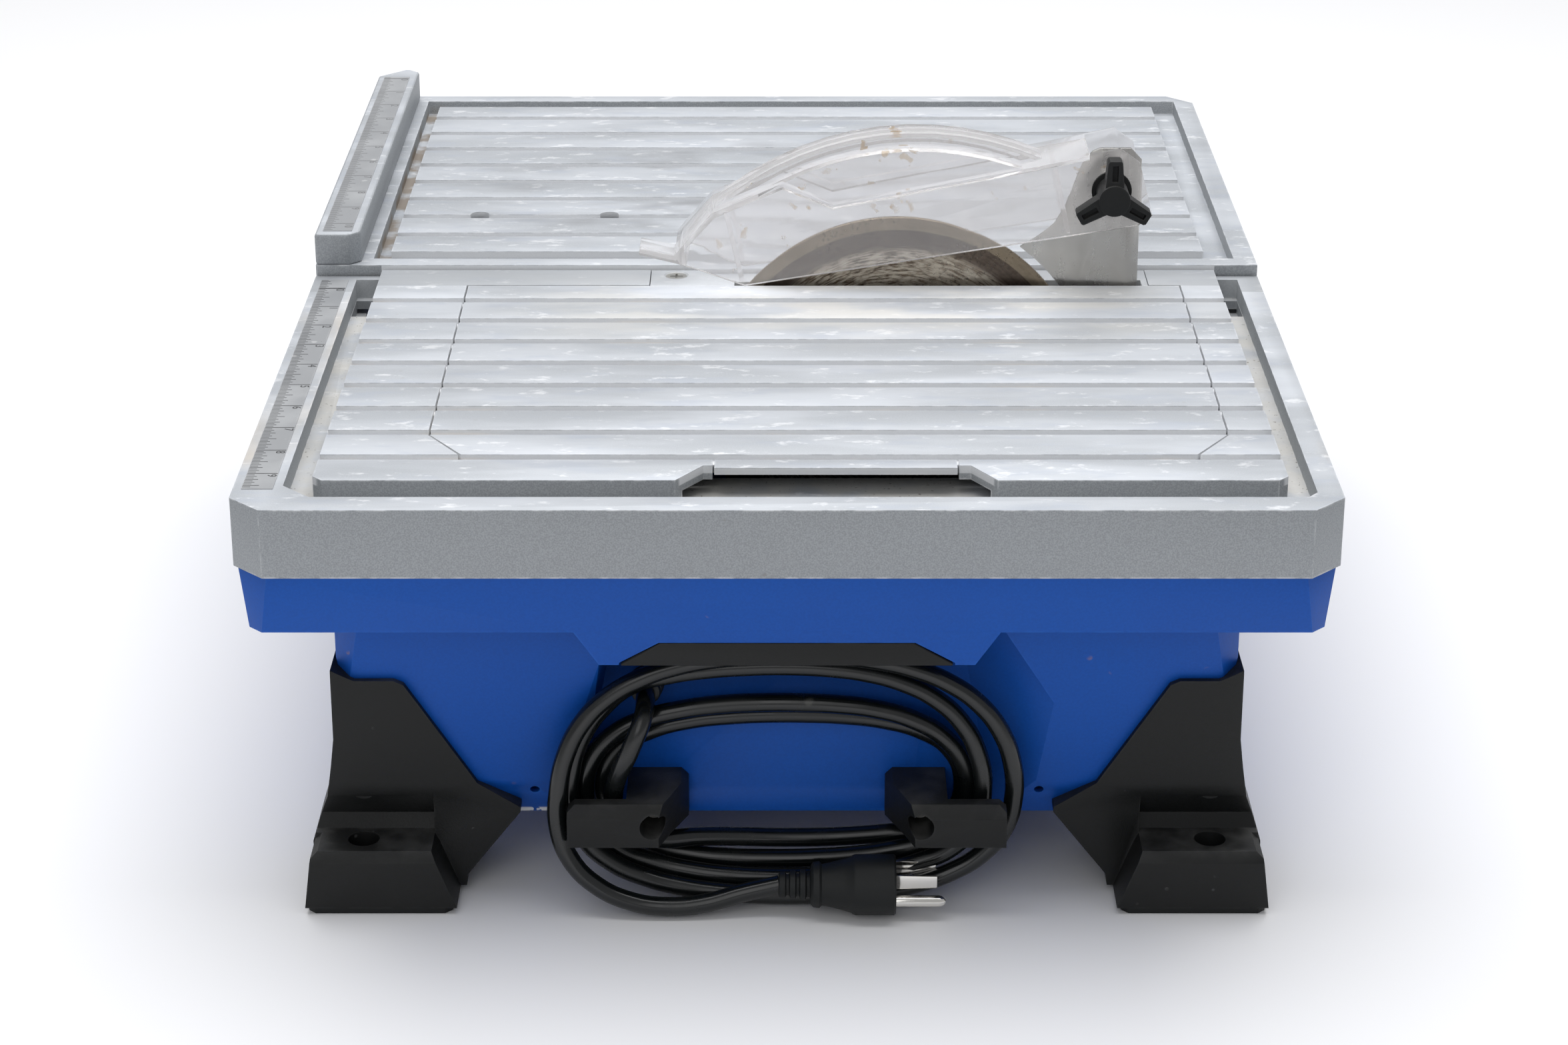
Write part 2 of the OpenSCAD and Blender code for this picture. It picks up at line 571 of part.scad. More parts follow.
module blade_guard() color([0.85, 0.9, 0.92, 0.4]) difference() {
    union() {
        prism_xz(guard_box, guard_y0, guard_y1);
        prism_xz(concat(crown(crown_r - 5), [[-2, rim_z + 40], [120, rim_z + 58]]),
            guard_y0 + 4, guard_y1 - 4);
        prism_xz(concat(crown(crown_r), crown_back), blade_y - 7.5, blade_y + 7.5);
        for (s = [0, 1]) bar_y(9, guard_y0 - 0.2 + s * 33.6, guard_y0 + 2.6 + s * 33.6, pivot_x, pivot_z);
    }
    prism_xz(guard_hollow, guard_y0 + guard_wall, guard_y1 - guard_wall);
    prism_xz(concat(crown(crown_r - 5 - guard_wall), [[-2, rim_z + 30], [120, rim_z + 40]]),
        guard_y0 + 4 + guard_wall, guard_y1 - 4 - guard_wall);
    prism_xz(concat(crown(crown_r - guard_wall), [[10, rim_z + 30], [110, rim_z + 40]]),
        blade_y - 7.5 + guard_wall, blade_y + 7.5 - guard_wall);
    block([-68, guard_y0 + 17, rim_z + 12], [-50.5, guard_y1 + 1, rim_z + 40]);
    bar_y(3.08, guard_y0 - 2, guard_y1 + 2, pivot_x, pivot_z);
}
crown_back = [[-30, rim_z + 36], [120, rim_z + 50]];
guard_hollow = [[-44, rim_z + 8], [-46.5, rim_z + 23.5], [-32.5, rim_z + 39], [-2, rim_z + 52.5],
    [21, rim_z + 43], [120, rim_z + 62.8], [136, rim_z + 66.3], [136, rim_z + 80], [170, rim_z + 80],
    [170, rim_z + 20], [-19, rim_z - 4]];

knob_lobe = [[-4.7, 0], [4.7, 0], [3.2, 17.2], [2.4, 18], [-2.4, 18], [-3.2, 17.2]];

module guard_knob() color("#1c1c1c") translate([pivot_x, 0, pivot_z]) difference() {
    union() {
        bar_y(7, -57, -41, 0, 0);
        for (a = [0:120:240]) rotate([0, a, 0]) prism_xz(knob_lobe, -55.5, -47.5);
    }
    bar_y(3 + fit, -52, -40, 0, 0);
    for (a = [0:120:240]) rotate([0, a, 0]) block([-1.3, -56, 8.5], [1.3, -52.5, 16]);
}

module knob_washer() color("#333333") difference() {
    bar_y(9, -41, -39.6, pivot_x, pivot_z);
    bar_y(3.02, -42, -39, pivot_x, pivot_z);
}

module guard_pivot_bolt() color("silver") {
    bar_y(3, -51.5, -0.6, pivot_x, pivot_z);
    translate([pivot_x, -0.6, pivot_z]) rotate([90, 0, 0]) cylinder(r = 5.5, h = 2.1, $fn = 6);
}

// ---------------------------------------------------------------- sliding table

slide_outline = [[-half_w, slide_y0], [half_w, slide_y0], [half_w, half_d - corner],
    [half_w - corner, half_d], [-half_w + corner, half_d], [-half_w, half_d - corner]];
slide_x0 = -186;
slide_x1 = 196;
slide_hollow = [[-half_w + 4, slide_y0 + 4], [half_w - 4, slide_y0 + 4],
    [half_w - 4, half_d - corner - 3], [half_w - corner - 3, half_d - 4],
    [-half_w + corner + 3, half_d - 4], [-half_w + 4, half_d - corner - 3]];

module sliding_table() color("lightgray") difference() {
    union() {
        difference() {
            union() {
                difference() {
                    plan(slide_outline, slide_low, slide_z);
                    block([-193, slide_y0 + 9.8, slide_z - 7], [half_w - 10, half_d - 10, slide_z + 1]);
                }
                block([slide_x0, slide_land, slide_low + 2], [slide_x1, half_d - 21, slide_z]);
            }
            plan(slide_hollow, slide_low - 1, slide_low + 2);
            block([slide_x0 + 4, slide_land + 4, slide_low - 1], [slide_x1 - 4, half_d - 25, slide_z - 4.6]);
        }
        for (x = [-205, 205], y = rod_ys) block([x - 6, y - 8, rod_z - 8], [x + 6, y + 8, slide_low + 3]);
    }
    for (k = [1:8]) block([-half_w + 27, slide_land + slide_pitch * k - groove_w, slide_z - groove_d],
        [half_w - 12, slide_land + slide_pitch * k, slide_z + 1]);
    for (x = [-149, -86]) translate([x, 76, slide_low - 1]) cylinder(r = 4.5, h = 20);
    for (x = [-205, 205], y = rod_ys) bar_x(rod_r + 0.02, x - 7, x + 7, y, rod_z);
    for (y = fence_ys) translate([-208, y, slide_low - 1]) cylinder(r = 2.55, h = 20);
}

module slide_rods() color("silver") for (y = rod_ys) difference() {
    bar_x(rod_r, -211, 211, y, rod_z);
    for (s = [-1, 1]) bar_x(2.1, s * 203 - 9, s * 203 + 9, y, rod_z);
}

module rod_screws() color("silver") for (y = rod_ys, s = [-1, 1]) {
    bar_x(7.5, s * 212.3 - 1.3, s * 212.3 + 1.3, y, rod_z);
    bar_x(2, s * 204 - 8, s * 204 + 8, y, rod_z);
}

module rod_blocks() color("#2b2b2b") for (y = rod_ys, s = [-1, 1]) difference() {
    block([s * block_x - 10, y - 10, cast_z + 2], [s * block_x + 10, y + 10, slide_low - 1]);
    bar_x(8, s * block_x - 11, s * block_x + 11, y, rod_z);
}

module rod_bushings() color("goldenrod") for (y = rod_ys, s = [-1, 1]) difference() {
    bar_x(8, s * block_x - 10, s * block_x + 10, y, rod_z);
    bar_x(rod_r + fit, s * block_x - 11, s * block_x + 11, y, rod_z);
}

module rip_fence() color("lightgray") difference() {
    plan([[-half_w, slide_y0], [-203, slide_y0], [-198, slide_y0 + 5], [-198, half_d - 5],
        [-203, half_d], [-half_w + corner, half_d], [-half_w, half_d - corner]], slide_z, fence_top);
    block([-214, 6, slide_z - 1], [-203, half_d - 20, fence_top - 4]);
}

module fence_ruler() color("gainsboro") block([-215.5, 3, fence_top], [-202, half_d - 16, fence_top + 0.3]);

module fence_screws() color("silver") for (y = fence_ys) translate([-208, y, 0]) {
    translate([0, 0, slide_low - 2.5]) cylinder(r = 4.2, h = 4.5);
    translate([0, 0, slide_low + 2]) cylinder(r = 2.5, h = 12);
}

// ---------------------------------------------------------------- cord

coil_y0 = -263;
coil_y1 = -247;

module cord_gland() color("#1c1c1c") {
    bar_y(7.5, coil_y1 + 5, recess_y, -58, 92);
    bar_y(5.6, coil_y1, coil_y1 + 5, -58, 92);
}

module cord_coil() color("#141414") difference() {
    prism_xz(concat(arc(-55, 82, 38, 180, 90, 6), arc(56, 82, 38, 90, 0, 6),
        arc(56, 44, 38, 0, -90, 6), arc(-55, 44, 38, -90, -180, 6)), coil_y0, coil_y1);
    prism_xz(concat(arc(-56, 66, 13, 180, 90, 3), arc(60, 66, 13, 90, 0, 3),
        arc(60, 38, 13, 0, -90, 3), arc(-56, 38, 13, -90, -180, 3)), coil_y0 - 1, coil_y1 + 1);
    difference() {
        tub_shape();
        cord_recess(-0.5);
    }
    block([plug_x - 3, coil_y0 - 1, 0], [plug_x + 70, plug_y + 14, plug_z + 14]);
}

// The stretch from the coil's face to the plug
tail = [[-72, -263, 24], [-72, -266, 23.5], [-70, -269, 21], [-65, -270.5, 16], [-57, -270.5, 11],
    [-46, -270, 8], [-34, -269, 7.5], [-22, -268, 9.5], [-12, -268, 12.5], [plug_x, plug_y, plug_z]];
tail_sides = 10;
function tail_dir(i) = i == 0 ? [0, -1, 0] : i == len(tail) - 1 ? [1, 0, 0]
    : (tail[i + 1] - tail[i - 1]) / norm(tail[i + 1] - tail[i - 1]);
function tail_up(d) = let (u = cross(d, [0.3, 0.2, 1])) u / norm(u);

module cord_tube() color("#141414") polyhedron(
    points = [for (i = [0:len(tail) - 1]) let (d = tail_dir(i), u = tail_up(d), v = cross(d, u))
        for (j = [0:tail_sides - 1]) let (a = 360 * j / tail_sides)
            tail[i] + cord_d / 2 * (u * cos(a) + v * sin(a))],
    faces = concat([[for (j = [0:tail_sides - 1]) j]],
        [[for (j = [0:tail_sides - 1]) len(tail) * tail_sides - 1 - j]],
        [for (i = [0:len(tail) - 2], j = [0:tail_sides - 1]) let (k = (j + 1) % tail_sides)
            [i * tail_sides + k, i * tail_sides + j, (i + 1) * tail_sides + j,
                (i + 1) * tail_sides + k]]));

module plug_body() color("#1c1c1c") {
    bar_x(5.5, plug_x, plug_x + 20, plug_y, plug_z);
    bar_x(13, plug_x + 20, plug_x + 48, plug_y, plug_z);
}

module plug_pins() color("silver") {
    bar_x(2.4, plug_x + 48, plug_x + 68.5, plug_y - 5, plug_z - 5);
    for (s = [-1, 1]) block([plug_x + 48, plug_y + 3 + 6.3 * s - 0.75, plug_z],
        [plug_x + 65, plug_y + 3 + 6.3 * s + 0.75, plug_z + 6.3]);
}

base_tub();
main_table();
table_ruler();
access_plate();
throat_plate();
throat_screw();
table_screws();
rear_cover();
rear_cover_screws();
leg_front_left();
leg_front_right();
leg_rear_left();
leg_rear_right();
foot_pads();
leg_screws();
carry_grip();
cord_hook_left();
cord_hook_right();
cord_hook_screws();
motor_housing();
motor_front_bell();
motor_rear_bell();
motor_stator();
motor_bearings();
motor_bracket();
motor_screws();
run_capacitor();
shaft_seal();
arbor_shaft();
motor_rotor();
cooling_fan();
inner_flange();
saw_blade();
outer_flange();
arbor_nut();
riving_knife();
knife_bracket();
knife_screws();
blade_guard();
guard_knob();
guard_pivot_bolt();
knob_washer();
sliding_table();
slide_rods();
rod_screws();
rod_blocks();
rod_bushings();
rip_fence();
fence_ruler();
fence_screws();
switch_box();
rocker_switch();
drain_plug();
cord_gland();
cord_coil();
cord_tube();
plug_body();
plug_pins();
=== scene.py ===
"""Tabletop wet trim saw: the pieces that show, with their finishes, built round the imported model."""

import math

import bmesh
import bpy
from mathutils import Matrix, Vector


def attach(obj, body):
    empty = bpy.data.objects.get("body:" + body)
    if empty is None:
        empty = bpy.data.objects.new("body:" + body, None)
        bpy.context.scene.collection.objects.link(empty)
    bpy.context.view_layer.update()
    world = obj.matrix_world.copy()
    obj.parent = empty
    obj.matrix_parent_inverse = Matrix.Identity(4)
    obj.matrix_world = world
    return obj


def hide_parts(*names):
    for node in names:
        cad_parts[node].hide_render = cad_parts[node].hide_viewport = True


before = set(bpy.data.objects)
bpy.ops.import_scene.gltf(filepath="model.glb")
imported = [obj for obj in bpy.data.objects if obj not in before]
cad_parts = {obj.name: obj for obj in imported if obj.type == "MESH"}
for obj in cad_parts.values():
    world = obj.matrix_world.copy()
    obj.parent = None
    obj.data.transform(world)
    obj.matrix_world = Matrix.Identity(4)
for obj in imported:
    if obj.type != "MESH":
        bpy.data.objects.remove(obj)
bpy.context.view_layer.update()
MM = 0.001

# ---------------------------------------------------------------- studio
# The saw stands on a plain pale floor under a wide soft light, seen from in front and above.

camera = bpy.data.objects.new("camera", bpy.data.cameras.new("camera"))
camera.location = (-0.0012, -1.5216, 0.70135)
camera.rotation_euler = (math.radians(67.29), 0, 0)
camera.data.lens = 78.87
camera.data.sensor_width = 36
camera.data.clip_start, camera.data.clip_end = 0.05, 60
bpy.context.scene.collection.objects.link(camera)
bpy.context.scene.camera = camera
bpy.context.scene.view_settings.view_transform = "Standard"

room = bpy.data.worlds.new("studio")
room.use_nodes = True
room.node_tree.nodes["Background"].inputs["Color"].default_value = (0.97, 0.98, 1, 1)
room.node_tree.nodes["Background"].inputs["Strength"].default_value = 0.42
bpy.context.scene.world = room

for name, place, aim, size, power in [
        ("top light", (0.0, 0.35, 2.2), (0, 0.0, 0.1), 2.6, 60),
        ("front light", (-0.6, -2.6, 1.5), (0, -0.1, 0.1), 1.8, 11)]:
    lamp = bpy.data.objects.new(name, bpy.data.lights.new(name, "AREA"))
    lamp.data.size = size
    lamp.data.energy = power
    lamp.location = place
    lamp.rotation_euler = (Vector(aim) - Vector(place)).to_track_quat("-Z", "Y").to_euler()
    bpy.context.scene.collection.objects.link(lamp)


def plain_finish(name, colour, roughness, metallic=0.0, coat=0.0):
    """A material with one Principled shader, set to an even finish"""
    made = bpy.data.materials.new(name)
    made.use_nodes = True
    shader = made.node_tree.nodes["Principled BSDF"]
    shader.inputs["Base Color"].default_value = (*colour, 1)
    shader.inputs["Roughness"].default_value = roughness
    shader.inputs["Metallic"].default_value = metallic
    shader.inputs["Coat Weight"].default_value = coat
    return made


floor_shape = bmesh.new()
bmesh.ops.create_grid(floor_shape, x_segments=1, y_segments=1, size=12)
floor_mesh = bpy.data.meshes.new("floor")
floor_shape.to_mesh(floor_mesh)
floor = bpy.data.objects.new("floor", floor_mesh)
floor_mesh.materials.append(plain_finish("pale floor", (0.93, 0.93, 0.94), 0.55))
bpy.context.scene.collection.objects.link(floor)

# ---------------------------------------------------------------- power cord
# A round three-core vinyl cord, moulded into its plug, wound about four times over the two hooks.
# Its last turn drops in front of the hooks towards the floor, where the plug lies.


def add_node(tree, kind, **settings):
    """A node with its settings: in_Name sets an input by its name, at_0 an input by its number"""
    node = tree.nodes.new(kind)
    for key, value in settings.items():
        if key.startswith("in_"):
            node.inputs[key[3:].replace("_", " ")].default_value = value
        elif key.startswith("at_"):
            node.inputs[int(key[3:])].default_value = value
        else:
            setattr(node, key, value)
    return node


def ramp(tree, value, low, high, out_low=0.0, out_high=1.0):
    """A value taken from one span to another, held at its ends"""
    node = add_node(tree, "ShaderNodeMapRange", interpolation_type="SMOOTHSTEP",
        at_1=low, at_2=high, at_3=out_low, at_4=out_high)
    tree.links.new(value, node.inputs[0])
    return node.outputs[0]


def sums(tree, operation, first, second):
    """Two values put together; either may be a number"""
    node = add_node(tree, "ShaderNodeMath", operation=operation)
    for place, given in enumerate((first, second)):
        if isinstance(given, (int, float)):
            node.inputs[place].default_value = given
        else:
            tree.links.new(given, node.inputs[place])
    return node.outputs[0]


def blend_colours(tree, mask, first, second, blend="MIX"):
    """One colour over another by a mask; a colour may be a tuple"""
    node = add_node(tree, "ShaderNodeMix", data_type="RGBA", blend_type=blend)
    for place, given in ((0, mask), (6, first), (7, second)):
        if isinstance(given, tuple):
            node.inputs[place].default_value = (*given, 1)
        elif isinstance(given, (int, float)):
            node.inputs[place].default_value = given
        else:
            tree.links.new(given, node.inputs[place])
    return node.outputs[2]


def noise(tree, scale, detail=2.0, where=None, stretch=None, rough=0.5):
    """Noise on the object's own coordinates, stretched where a stretch is given"""
    if where is None:
        where = add_node(tree, "ShaderNodeTexCoord").outputs["Object"]
    if stretch is not None:
        mapped = add_node(tree, "ShaderNodeMapping", in_Scale=stretch)
        tree.links.new(where, mapped.inputs["Vector"])
        where = mapped.outputs["Vector"]
    node = add_node(tree, "ShaderNodeTexNoise", in_Detail=detail, in_Roughness=rough)
    tree.links.new(where, node.inputs["Vector"])
    if isinstance(scale, (int, float)):
        node.inputs["Scale"].default_value = scale
    else:
        tree.links.new(scale, node.inputs["Scale"])
    return node.outputs["Fac"]


def worn_surface():
    """The group behind the moulded, cast and plated finishes: clouds, fine grain, worn edges, specks"""
    group = bpy.data.node_groups.new("worn surface", "ShaderNodeTree")
    sockets = [("Colour", "Color", (0.5, 0.5, 0.5, 1)), ("Cloud Colour", "Color", (0.4, 0.4, 0.4, 1)),
        ("Cloud Scale", "Float", 12.0), ("Cloud Amount", "Float", 0.3),
        ("Grain Scale", "Float", 900.0), ("Grain Height", "Float", 0.2), ("Grain Tint", "Float", 0.0),
        ("Roughness", "Float", 0.45), ("Roughness Spread", "Float", 0.1),
        ("Edge Colour", "Color", (0.6, 0.6, 0.6, 1)), ("Edge Width", "Float", 0.0012),
        ("Edge Amount", "Float", 0.4), ("Speck Colour", "Color", (0.2, 0.12, 0.06, 1)),
        ("Speck Scale", "Float", 60.0), ("Speck Amount", "Float", 0.0)]
    for name, kind, value in sockets:
        made = group.interface.new_socket(name, in_out="INPUT", socket_type="NodeSocket" + kind)
        made.default_value = value
    for name, kind in [("Colour", "Color"), ("Roughness", "Float"), ("Height", "Float"), ("Edge", "Float")]:
        group.interface.new_socket(name, in_out="OUTPUT", socket_type="NodeSocket" + kind)
    given = group.nodes.new("NodeGroupInput").outputs
    cloud = ramp(group, noise(group, given["Cloud Scale"], 5), 0.42, 0.68)
    clouded = blend_colours(group, sums(group, "MULTIPLY", cloud, given["Cloud Amount"]),
        given["Colour"], given["Cloud Colour"])
    grain = noise(group, given["Grain Scale"], 3)
    tint = sums(group, "MULTIPLY", ramp(group, grain, 0.3, 0.7, -0.5, 0.5), given["Grain Tint"])
    lift = add_node(group, "ShaderNodeVectorMath", operation="SCALE")
    group.links.new(clouded, lift.inputs[0])
    group.links.new(sums(group, "ADD", tint, 1.0), lift.inputs["Scale"])
    clouded = lift.outputs[0]
    # worn edges: where a wide bevel's normal leaves the surface's own, broken up by noise
    bevel = add_node(group, "ShaderNodeBevel", samples=4)
    group.links.new(given["Edge Width"], bevel.inputs["Radius"])
    level = add_node(group, "ShaderNodeVectorMath", operation="DOT_PRODUCT")
    group.links.new(bevel.outputs[0], level.inputs[0])
    group.links.new(add_node(group, "ShaderNodeNewGeometry").outputs["Normal"], level.inputs[1])
    near_edge = ramp(group, level.outputs["Value"], 0.995, 0.86)
    broken = ramp(group, noise(group, 150.0, 4), 0.4, 0.62)
    edge = sums(group, "MULTIPLY", sums(group, "MULTIPLY", near_edge, broken), given["Edge Amount"])
    edged = blend_colours(group, edge, clouded, given["Edge Colour"])
    dots = add_node(group, "ShaderNodeTexVoronoi")
    group.links.new(given["Speck Scale"], dots.inputs["Scale"])
    group.links.new(add_node(group, "ShaderNodeTexCoord").outputs["Object"], dots.inputs["Vector"])
    keep = ramp(group, noise(group, 45.0, 2), 0.6, 0.66)
    speck = sums(group, "MULTIPLY", ramp(group, dots.outputs["Distance"], 0.16, 0.09), keep)
    specked = blend_colours(group, sums(group, "MULTIPLY", speck, given["Speck Amount"]), edged,
        given["Speck Colour"])
    uneven = sums(group, "SUBTRACT", sums(group, "ADD", cloud, grain), 1.0)
    rough = sums(group, "ADD", given["Roughness"],
        sums(group, "MULTIPLY", uneven, given["Roughness Spread"]))
    put = group.nodes.new("NodeGroupOutput").inputs
    group.links.new(specked, put["Colour"])
    group.links.new(rough, put["Roughness"])
    group.links.new(sums(group, "MULTIPLY", grain, given["Grain Height"]), put["Height"])
    group.links.new(edge, put["Edge"])
    return group


WORN = worn_surface()


def worn_finish(name, metallic=0.0, coat=0.0, bump=0.4, sheen=0.5, **values):
    """A material on the worn surface group; the values are the group's inputs"""
    made = plain_finish(name, (0.5, 0.5, 0.5), 0.5, metallic, coat)
    tree = made.node_tree
    shader = tree.nodes["Principled BSDF"]
    shader.inputs["Specular IOR Level"].default_value = sheen
    group = add_node(tree, "ShaderNodeGroup", node_tree=WORN, name="worn")
    for key, value in values.items():
        socket = group.inputs[key.replace("_", " ").title()]
        socket.default_value = (*value, 1) if isinstance(value, tuple) else value
    relief = add_node(tree, "ShaderNodeBump", name="relief", in_Strength=bump, in_Distance=0.0004)
    tree.links.new(group.outputs["Colour"], shader.inputs["Base Color"])
    tree.links.new(group.outputs["Roughness"], shader.inputs["Roughness"])
    tree.links.new(group.outputs["Height"], relief.inputs["Height"])
    tree.links.new(relief.outputs["Normal"], shader.inputs["Normal"])
    return made


def place_piece(piece, body, slot, material, *nodes):
    """Puts a piece in the scene on its body, with its finish, for the CAD nodes it stands for"""
    bpy.context.scene.collection.objects.link(piece)
    piece.data.materials.clear()
    piece.data.materials.append(material)
    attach(piece, body)
    if nodes:
        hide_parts(*nodes)
    return piece


def mesh_piece(shape, name, body, slot, material, *nodes, smooth=35):
    """Turns a bmesh into a finished piece, smooth but for its sharp edges"""
    mesh = bpy.data.meshes.new(name)
    shape.to_mesh(mesh)
    shape.free()
    mesh.shade_smooth()
    mesh.set_sharp_from_angle(angle=math.radians(smooth))
    return place_piece(bpy.data.objects.new(name, mesh), body, slot, material, *nodes)


def turned(profile, centre, axis, steps=48, closed=False, shape=None):
    """A turned solid: (along, radius) pairs in mm, spun about an axis through a centre"""
    shape = shape or bmesh.new()
    axis = Vector(axis)
    side = axis.orthogonal().normalized()
    before = set(shape.verts)
    rings = [shape.verts.new(Vector(centre) + (axis * a + side * r) * MM) for a, r in profile]
    pairs = list(zip(rings, rings[1:])) + ([(rings[-1], rings[0])] if closed else [])
    edges = [shape.edges.new(pair) for pair in pairs]
    bmesh.ops.spin(shape, geom=rings + edges, cent=Vector(centre), axis=axis,
        angle=math.tau, steps=steps, use_merge=True)
    fresh = [v for v in shape.verts if v not in before]
    bmesh.ops.remove_doubles(shape, verts=fresh, dist=1e-6)
    faces = {f for v in shape.verts if v.is_valid and v not in before for f in v.link_faces}
    bmesh.ops.recalc_face_normals(shape, faces=list(faces))
    return shape


cord_vinyl = worn_finish("black vinyl cord", bump=0.06, sheen=0.55, colour=(0.004, 0.0052, 0.0055),
    cloud_colour=(0.009, 0.011, 0.011), cloud_scale=40.0, grain_scale=260.0, roughness=0.27,
    roughness_spread=0.14, edge_amount=0.0, speck_colour=(0.12, 0.12, 0.11), speck_scale=60.0,
    speck_amount=0.35)
# Points in mm. They are the output of a relaxation program, not chosen by hand or worked out by a
# loop: it moved hand-drawn turns until they lay a diameter apart.
CORD_ROUTE = [
    (-58.0, -247.0, 92.0), (-58.7, -260.7, 87.5), (-64.1, -264.8, 74.2), (-69.7, -261.3, 60.1),
    (-71.8, -256.3, 46.5), (-70.2, -252.9, 33.3), (-54.3, -249.8, 26.3), (-36.9, -245.8, 25.0),
    (-20.6, -242.8, 23.4), (-4.6, -241.5, 22.3), (11.3, -241.0, 22.1), (27.3, -240.8, 22.7),
    (43.2, -240.5, 23.9), (58.5, -240.3, 25.4), (70.2, -240.3, 34.6), (73.2, -240.9, 50.7),
    (67.4, -241.5, 64.3), (55.2, -242.3, 73.0), (40.1, -242.7, 77.7), (24.2, -242.9, 79.9),
    (8.2, -243.0, 80.7), (-7.8, -243.0, 80.7), (-23.8, -243.0, 79.9), (-39.7, -243.1, 78.0),
    (-55.1, -243.3, 73.9), (-68.2, -243.8, 66.5), (-75.7, -244.7, 55.0), (-75.5, -244.8, 41.2),
    (-67.9, -243.8, 28.2), (-54.1, -243.6, 19.7), (-38.6, -244.8, 16.1), (-22.6, -245.9, 15.1),
    (-6.4, -246.7, 15.1), (9.7, -247.2, 15.6), (25.7, -247.6, 16.8), (41.6, -248.3, 19.4),
    (57.0, -249.1, 24.1), (70.2, -249.2, 32.9), (75.0, -249.0, 46.4), (73.0, -249.5, 61.0),
    (64.6, -249.6, 73.1), (51.6, -249.3, 81.1), (36.4, -249.1, 85.7), (20.5, -249.0, 87.8),
    (4.5, -249.0, 88.6), (-11.5, -249.0, 88.6), (-27.5, -249.0, 87.7), (-43.3, -249.0, 85.4),
    (-58.6, -249.0, 81.1), (-72.0, -249.2, 73.6), (-81.1, -249.7, 62.1), (-83.7, -250.5, 47.9),
    (-80.2, -251.0, 33.3), (-70.1, -251.5, 22.2), (-55.2, -252.3, 16.3), (-39.3, -253.3, 12.9),
    (-23.5, -254.0, 11.1), (-7.6, -254.3, 10.3), (8.2, -254.4, 10.4), (24.0, -254.6, 11.3),
    (39.5, -255.0, 13.7), (54.8, -255.7, 18.3), (68.9, -256.8, 26.0), (78.1, -256.7, 37.8),
    (81.0, -255.7, 52.6), (78.6, -254.8, 68.1), (71.6, -254.2, 82.0), (60.6, -254.1, 92.9),
    (46.8, -254.0, 100.3), (31.6, -254.0, 104.7), (15.8, -253.9, 106.8), (-0.2, -253.8, 107.5),
    (-16.2, -253.6, 107.1), (-32.1, -253.1, 105.7), (-48.1, -252.3, 102.8), (-63.5, -251.5, 97.8),
    (-75.4, -252.0, 87.9), (-84.2, -253.0, 75.1), (-88.9, -254.8, 60.4), (-89.1, -257.2, 45.0),
    (-83.8, -259.1, 31.2), (-73.1, -259.9, 20.6), (-59.1, -260.1, 13.6), (-43.8, -260.3, 9.3),
    (-28.0, -260.5, 6.8), (-11.9, -260.9, 5.8), (4.3, -261.1, 5.6), (20.4, -261.0, 6.0),
    (36.6, -260.6, 7.3), (52.7, -260.0, 10.1), (67.7, -259.2, 15.2), (80.7, -258.5, 23.5),
    (89.9, -258.2, 35.4), (93.6, -258.0, 50.1), (92.5, -258.0, 65.7), (87.2, -258.0, 80.4),
    (77.9, -258.0, 92.8), (65.4, -258.0, 102.1), (50.9, -258.0, 108.4), (35.4, -258.0, 112.1),
    (19.6, -258.1, 114.0), (3.6, -258.1, 114.6), (-12.4, -258.2, 114.2), (-28.4, -258.4, 112.8),
    (-44.1, -258.8, 109.9), (-59.1, -259.3, 104.6), (-72.5, -259.7, 96.5), (-83.2, -260.3, 85.3),
    (-90.3, -261.5, 71.5), (-93.8, -263.3, 56.0), (-94.2, -264.9, 39.5), (-89.1, -267.0, 25.0),
    (-78.8, -269.0, 14.4), (-65.1, -270.1, 7.7), (-49.6, -270.3, 5.2), (-33.9, -269.8, 6.5),
    (-18.4, -268.6, 10.6), (-3.0, -268.0, 14.2)
]
curve = bpy.data.curves.new("power_cord", "CURVE")
curve.dimensions = "3D"
curve.bevel_depth = 4.0 * MM
curve.bevel_resolution = 5
curve.resolution_u = 8
curve.use_fill_caps = True
spline = curve.splines.new("BEZIER")
spline.bezier_points.add(len(CORD_ROUTE) - 1)
for point, place in zip(spline.bezier_points, CORD_ROUTE):
    point.co = Vector(place) * MM
    point.handle_left_type = point.handle_right_type = "AUTO"
cord = place_piece(bpy.data.objects.new("power_cord", curve), "base", "cord_jacket", cord_vinyl,
    "cord_coil", "cord_tube")

# The strain relief is a ribbed rubber sleeve, pushed into the wall of the recess.
rubber = worn_finish("matt rubber", bump=0.15, sheen=0.3, colour=(0.006, 0.007, 0.007),
    cloud_colour=(0.014, 0.016, 0.017), roughness=0.5, roughness_spread=0.12, edge_amount=0.25,
    edge_colour=(0.03, 0.033, 0.035))
GLAND_AT = (-0.058, -0.236, 0.092)
RIB_PITCH = 3
ribs = [(0, 0), (0, 7.5)]
for rib in range(3):
    along = 1.5 + rib * RIB_PITCH
    ribs += [(along, 7.4 - 0.5 * rib), (along + 0.4, 6.0 - 0.4 * rib), (along + 1.2, 6.0 - 0.4 * rib),
        (along + 1.6, 7.2 - 0.5 * rib)]
ribs += [(10.6, 5.6), (11, 4.4), (11, 0)]
mesh_piece(turned(ribs, GLAND_AT, (0, -1, 0)), "strain_relief", "base",
    "rubber", rubber, "cord_gland")

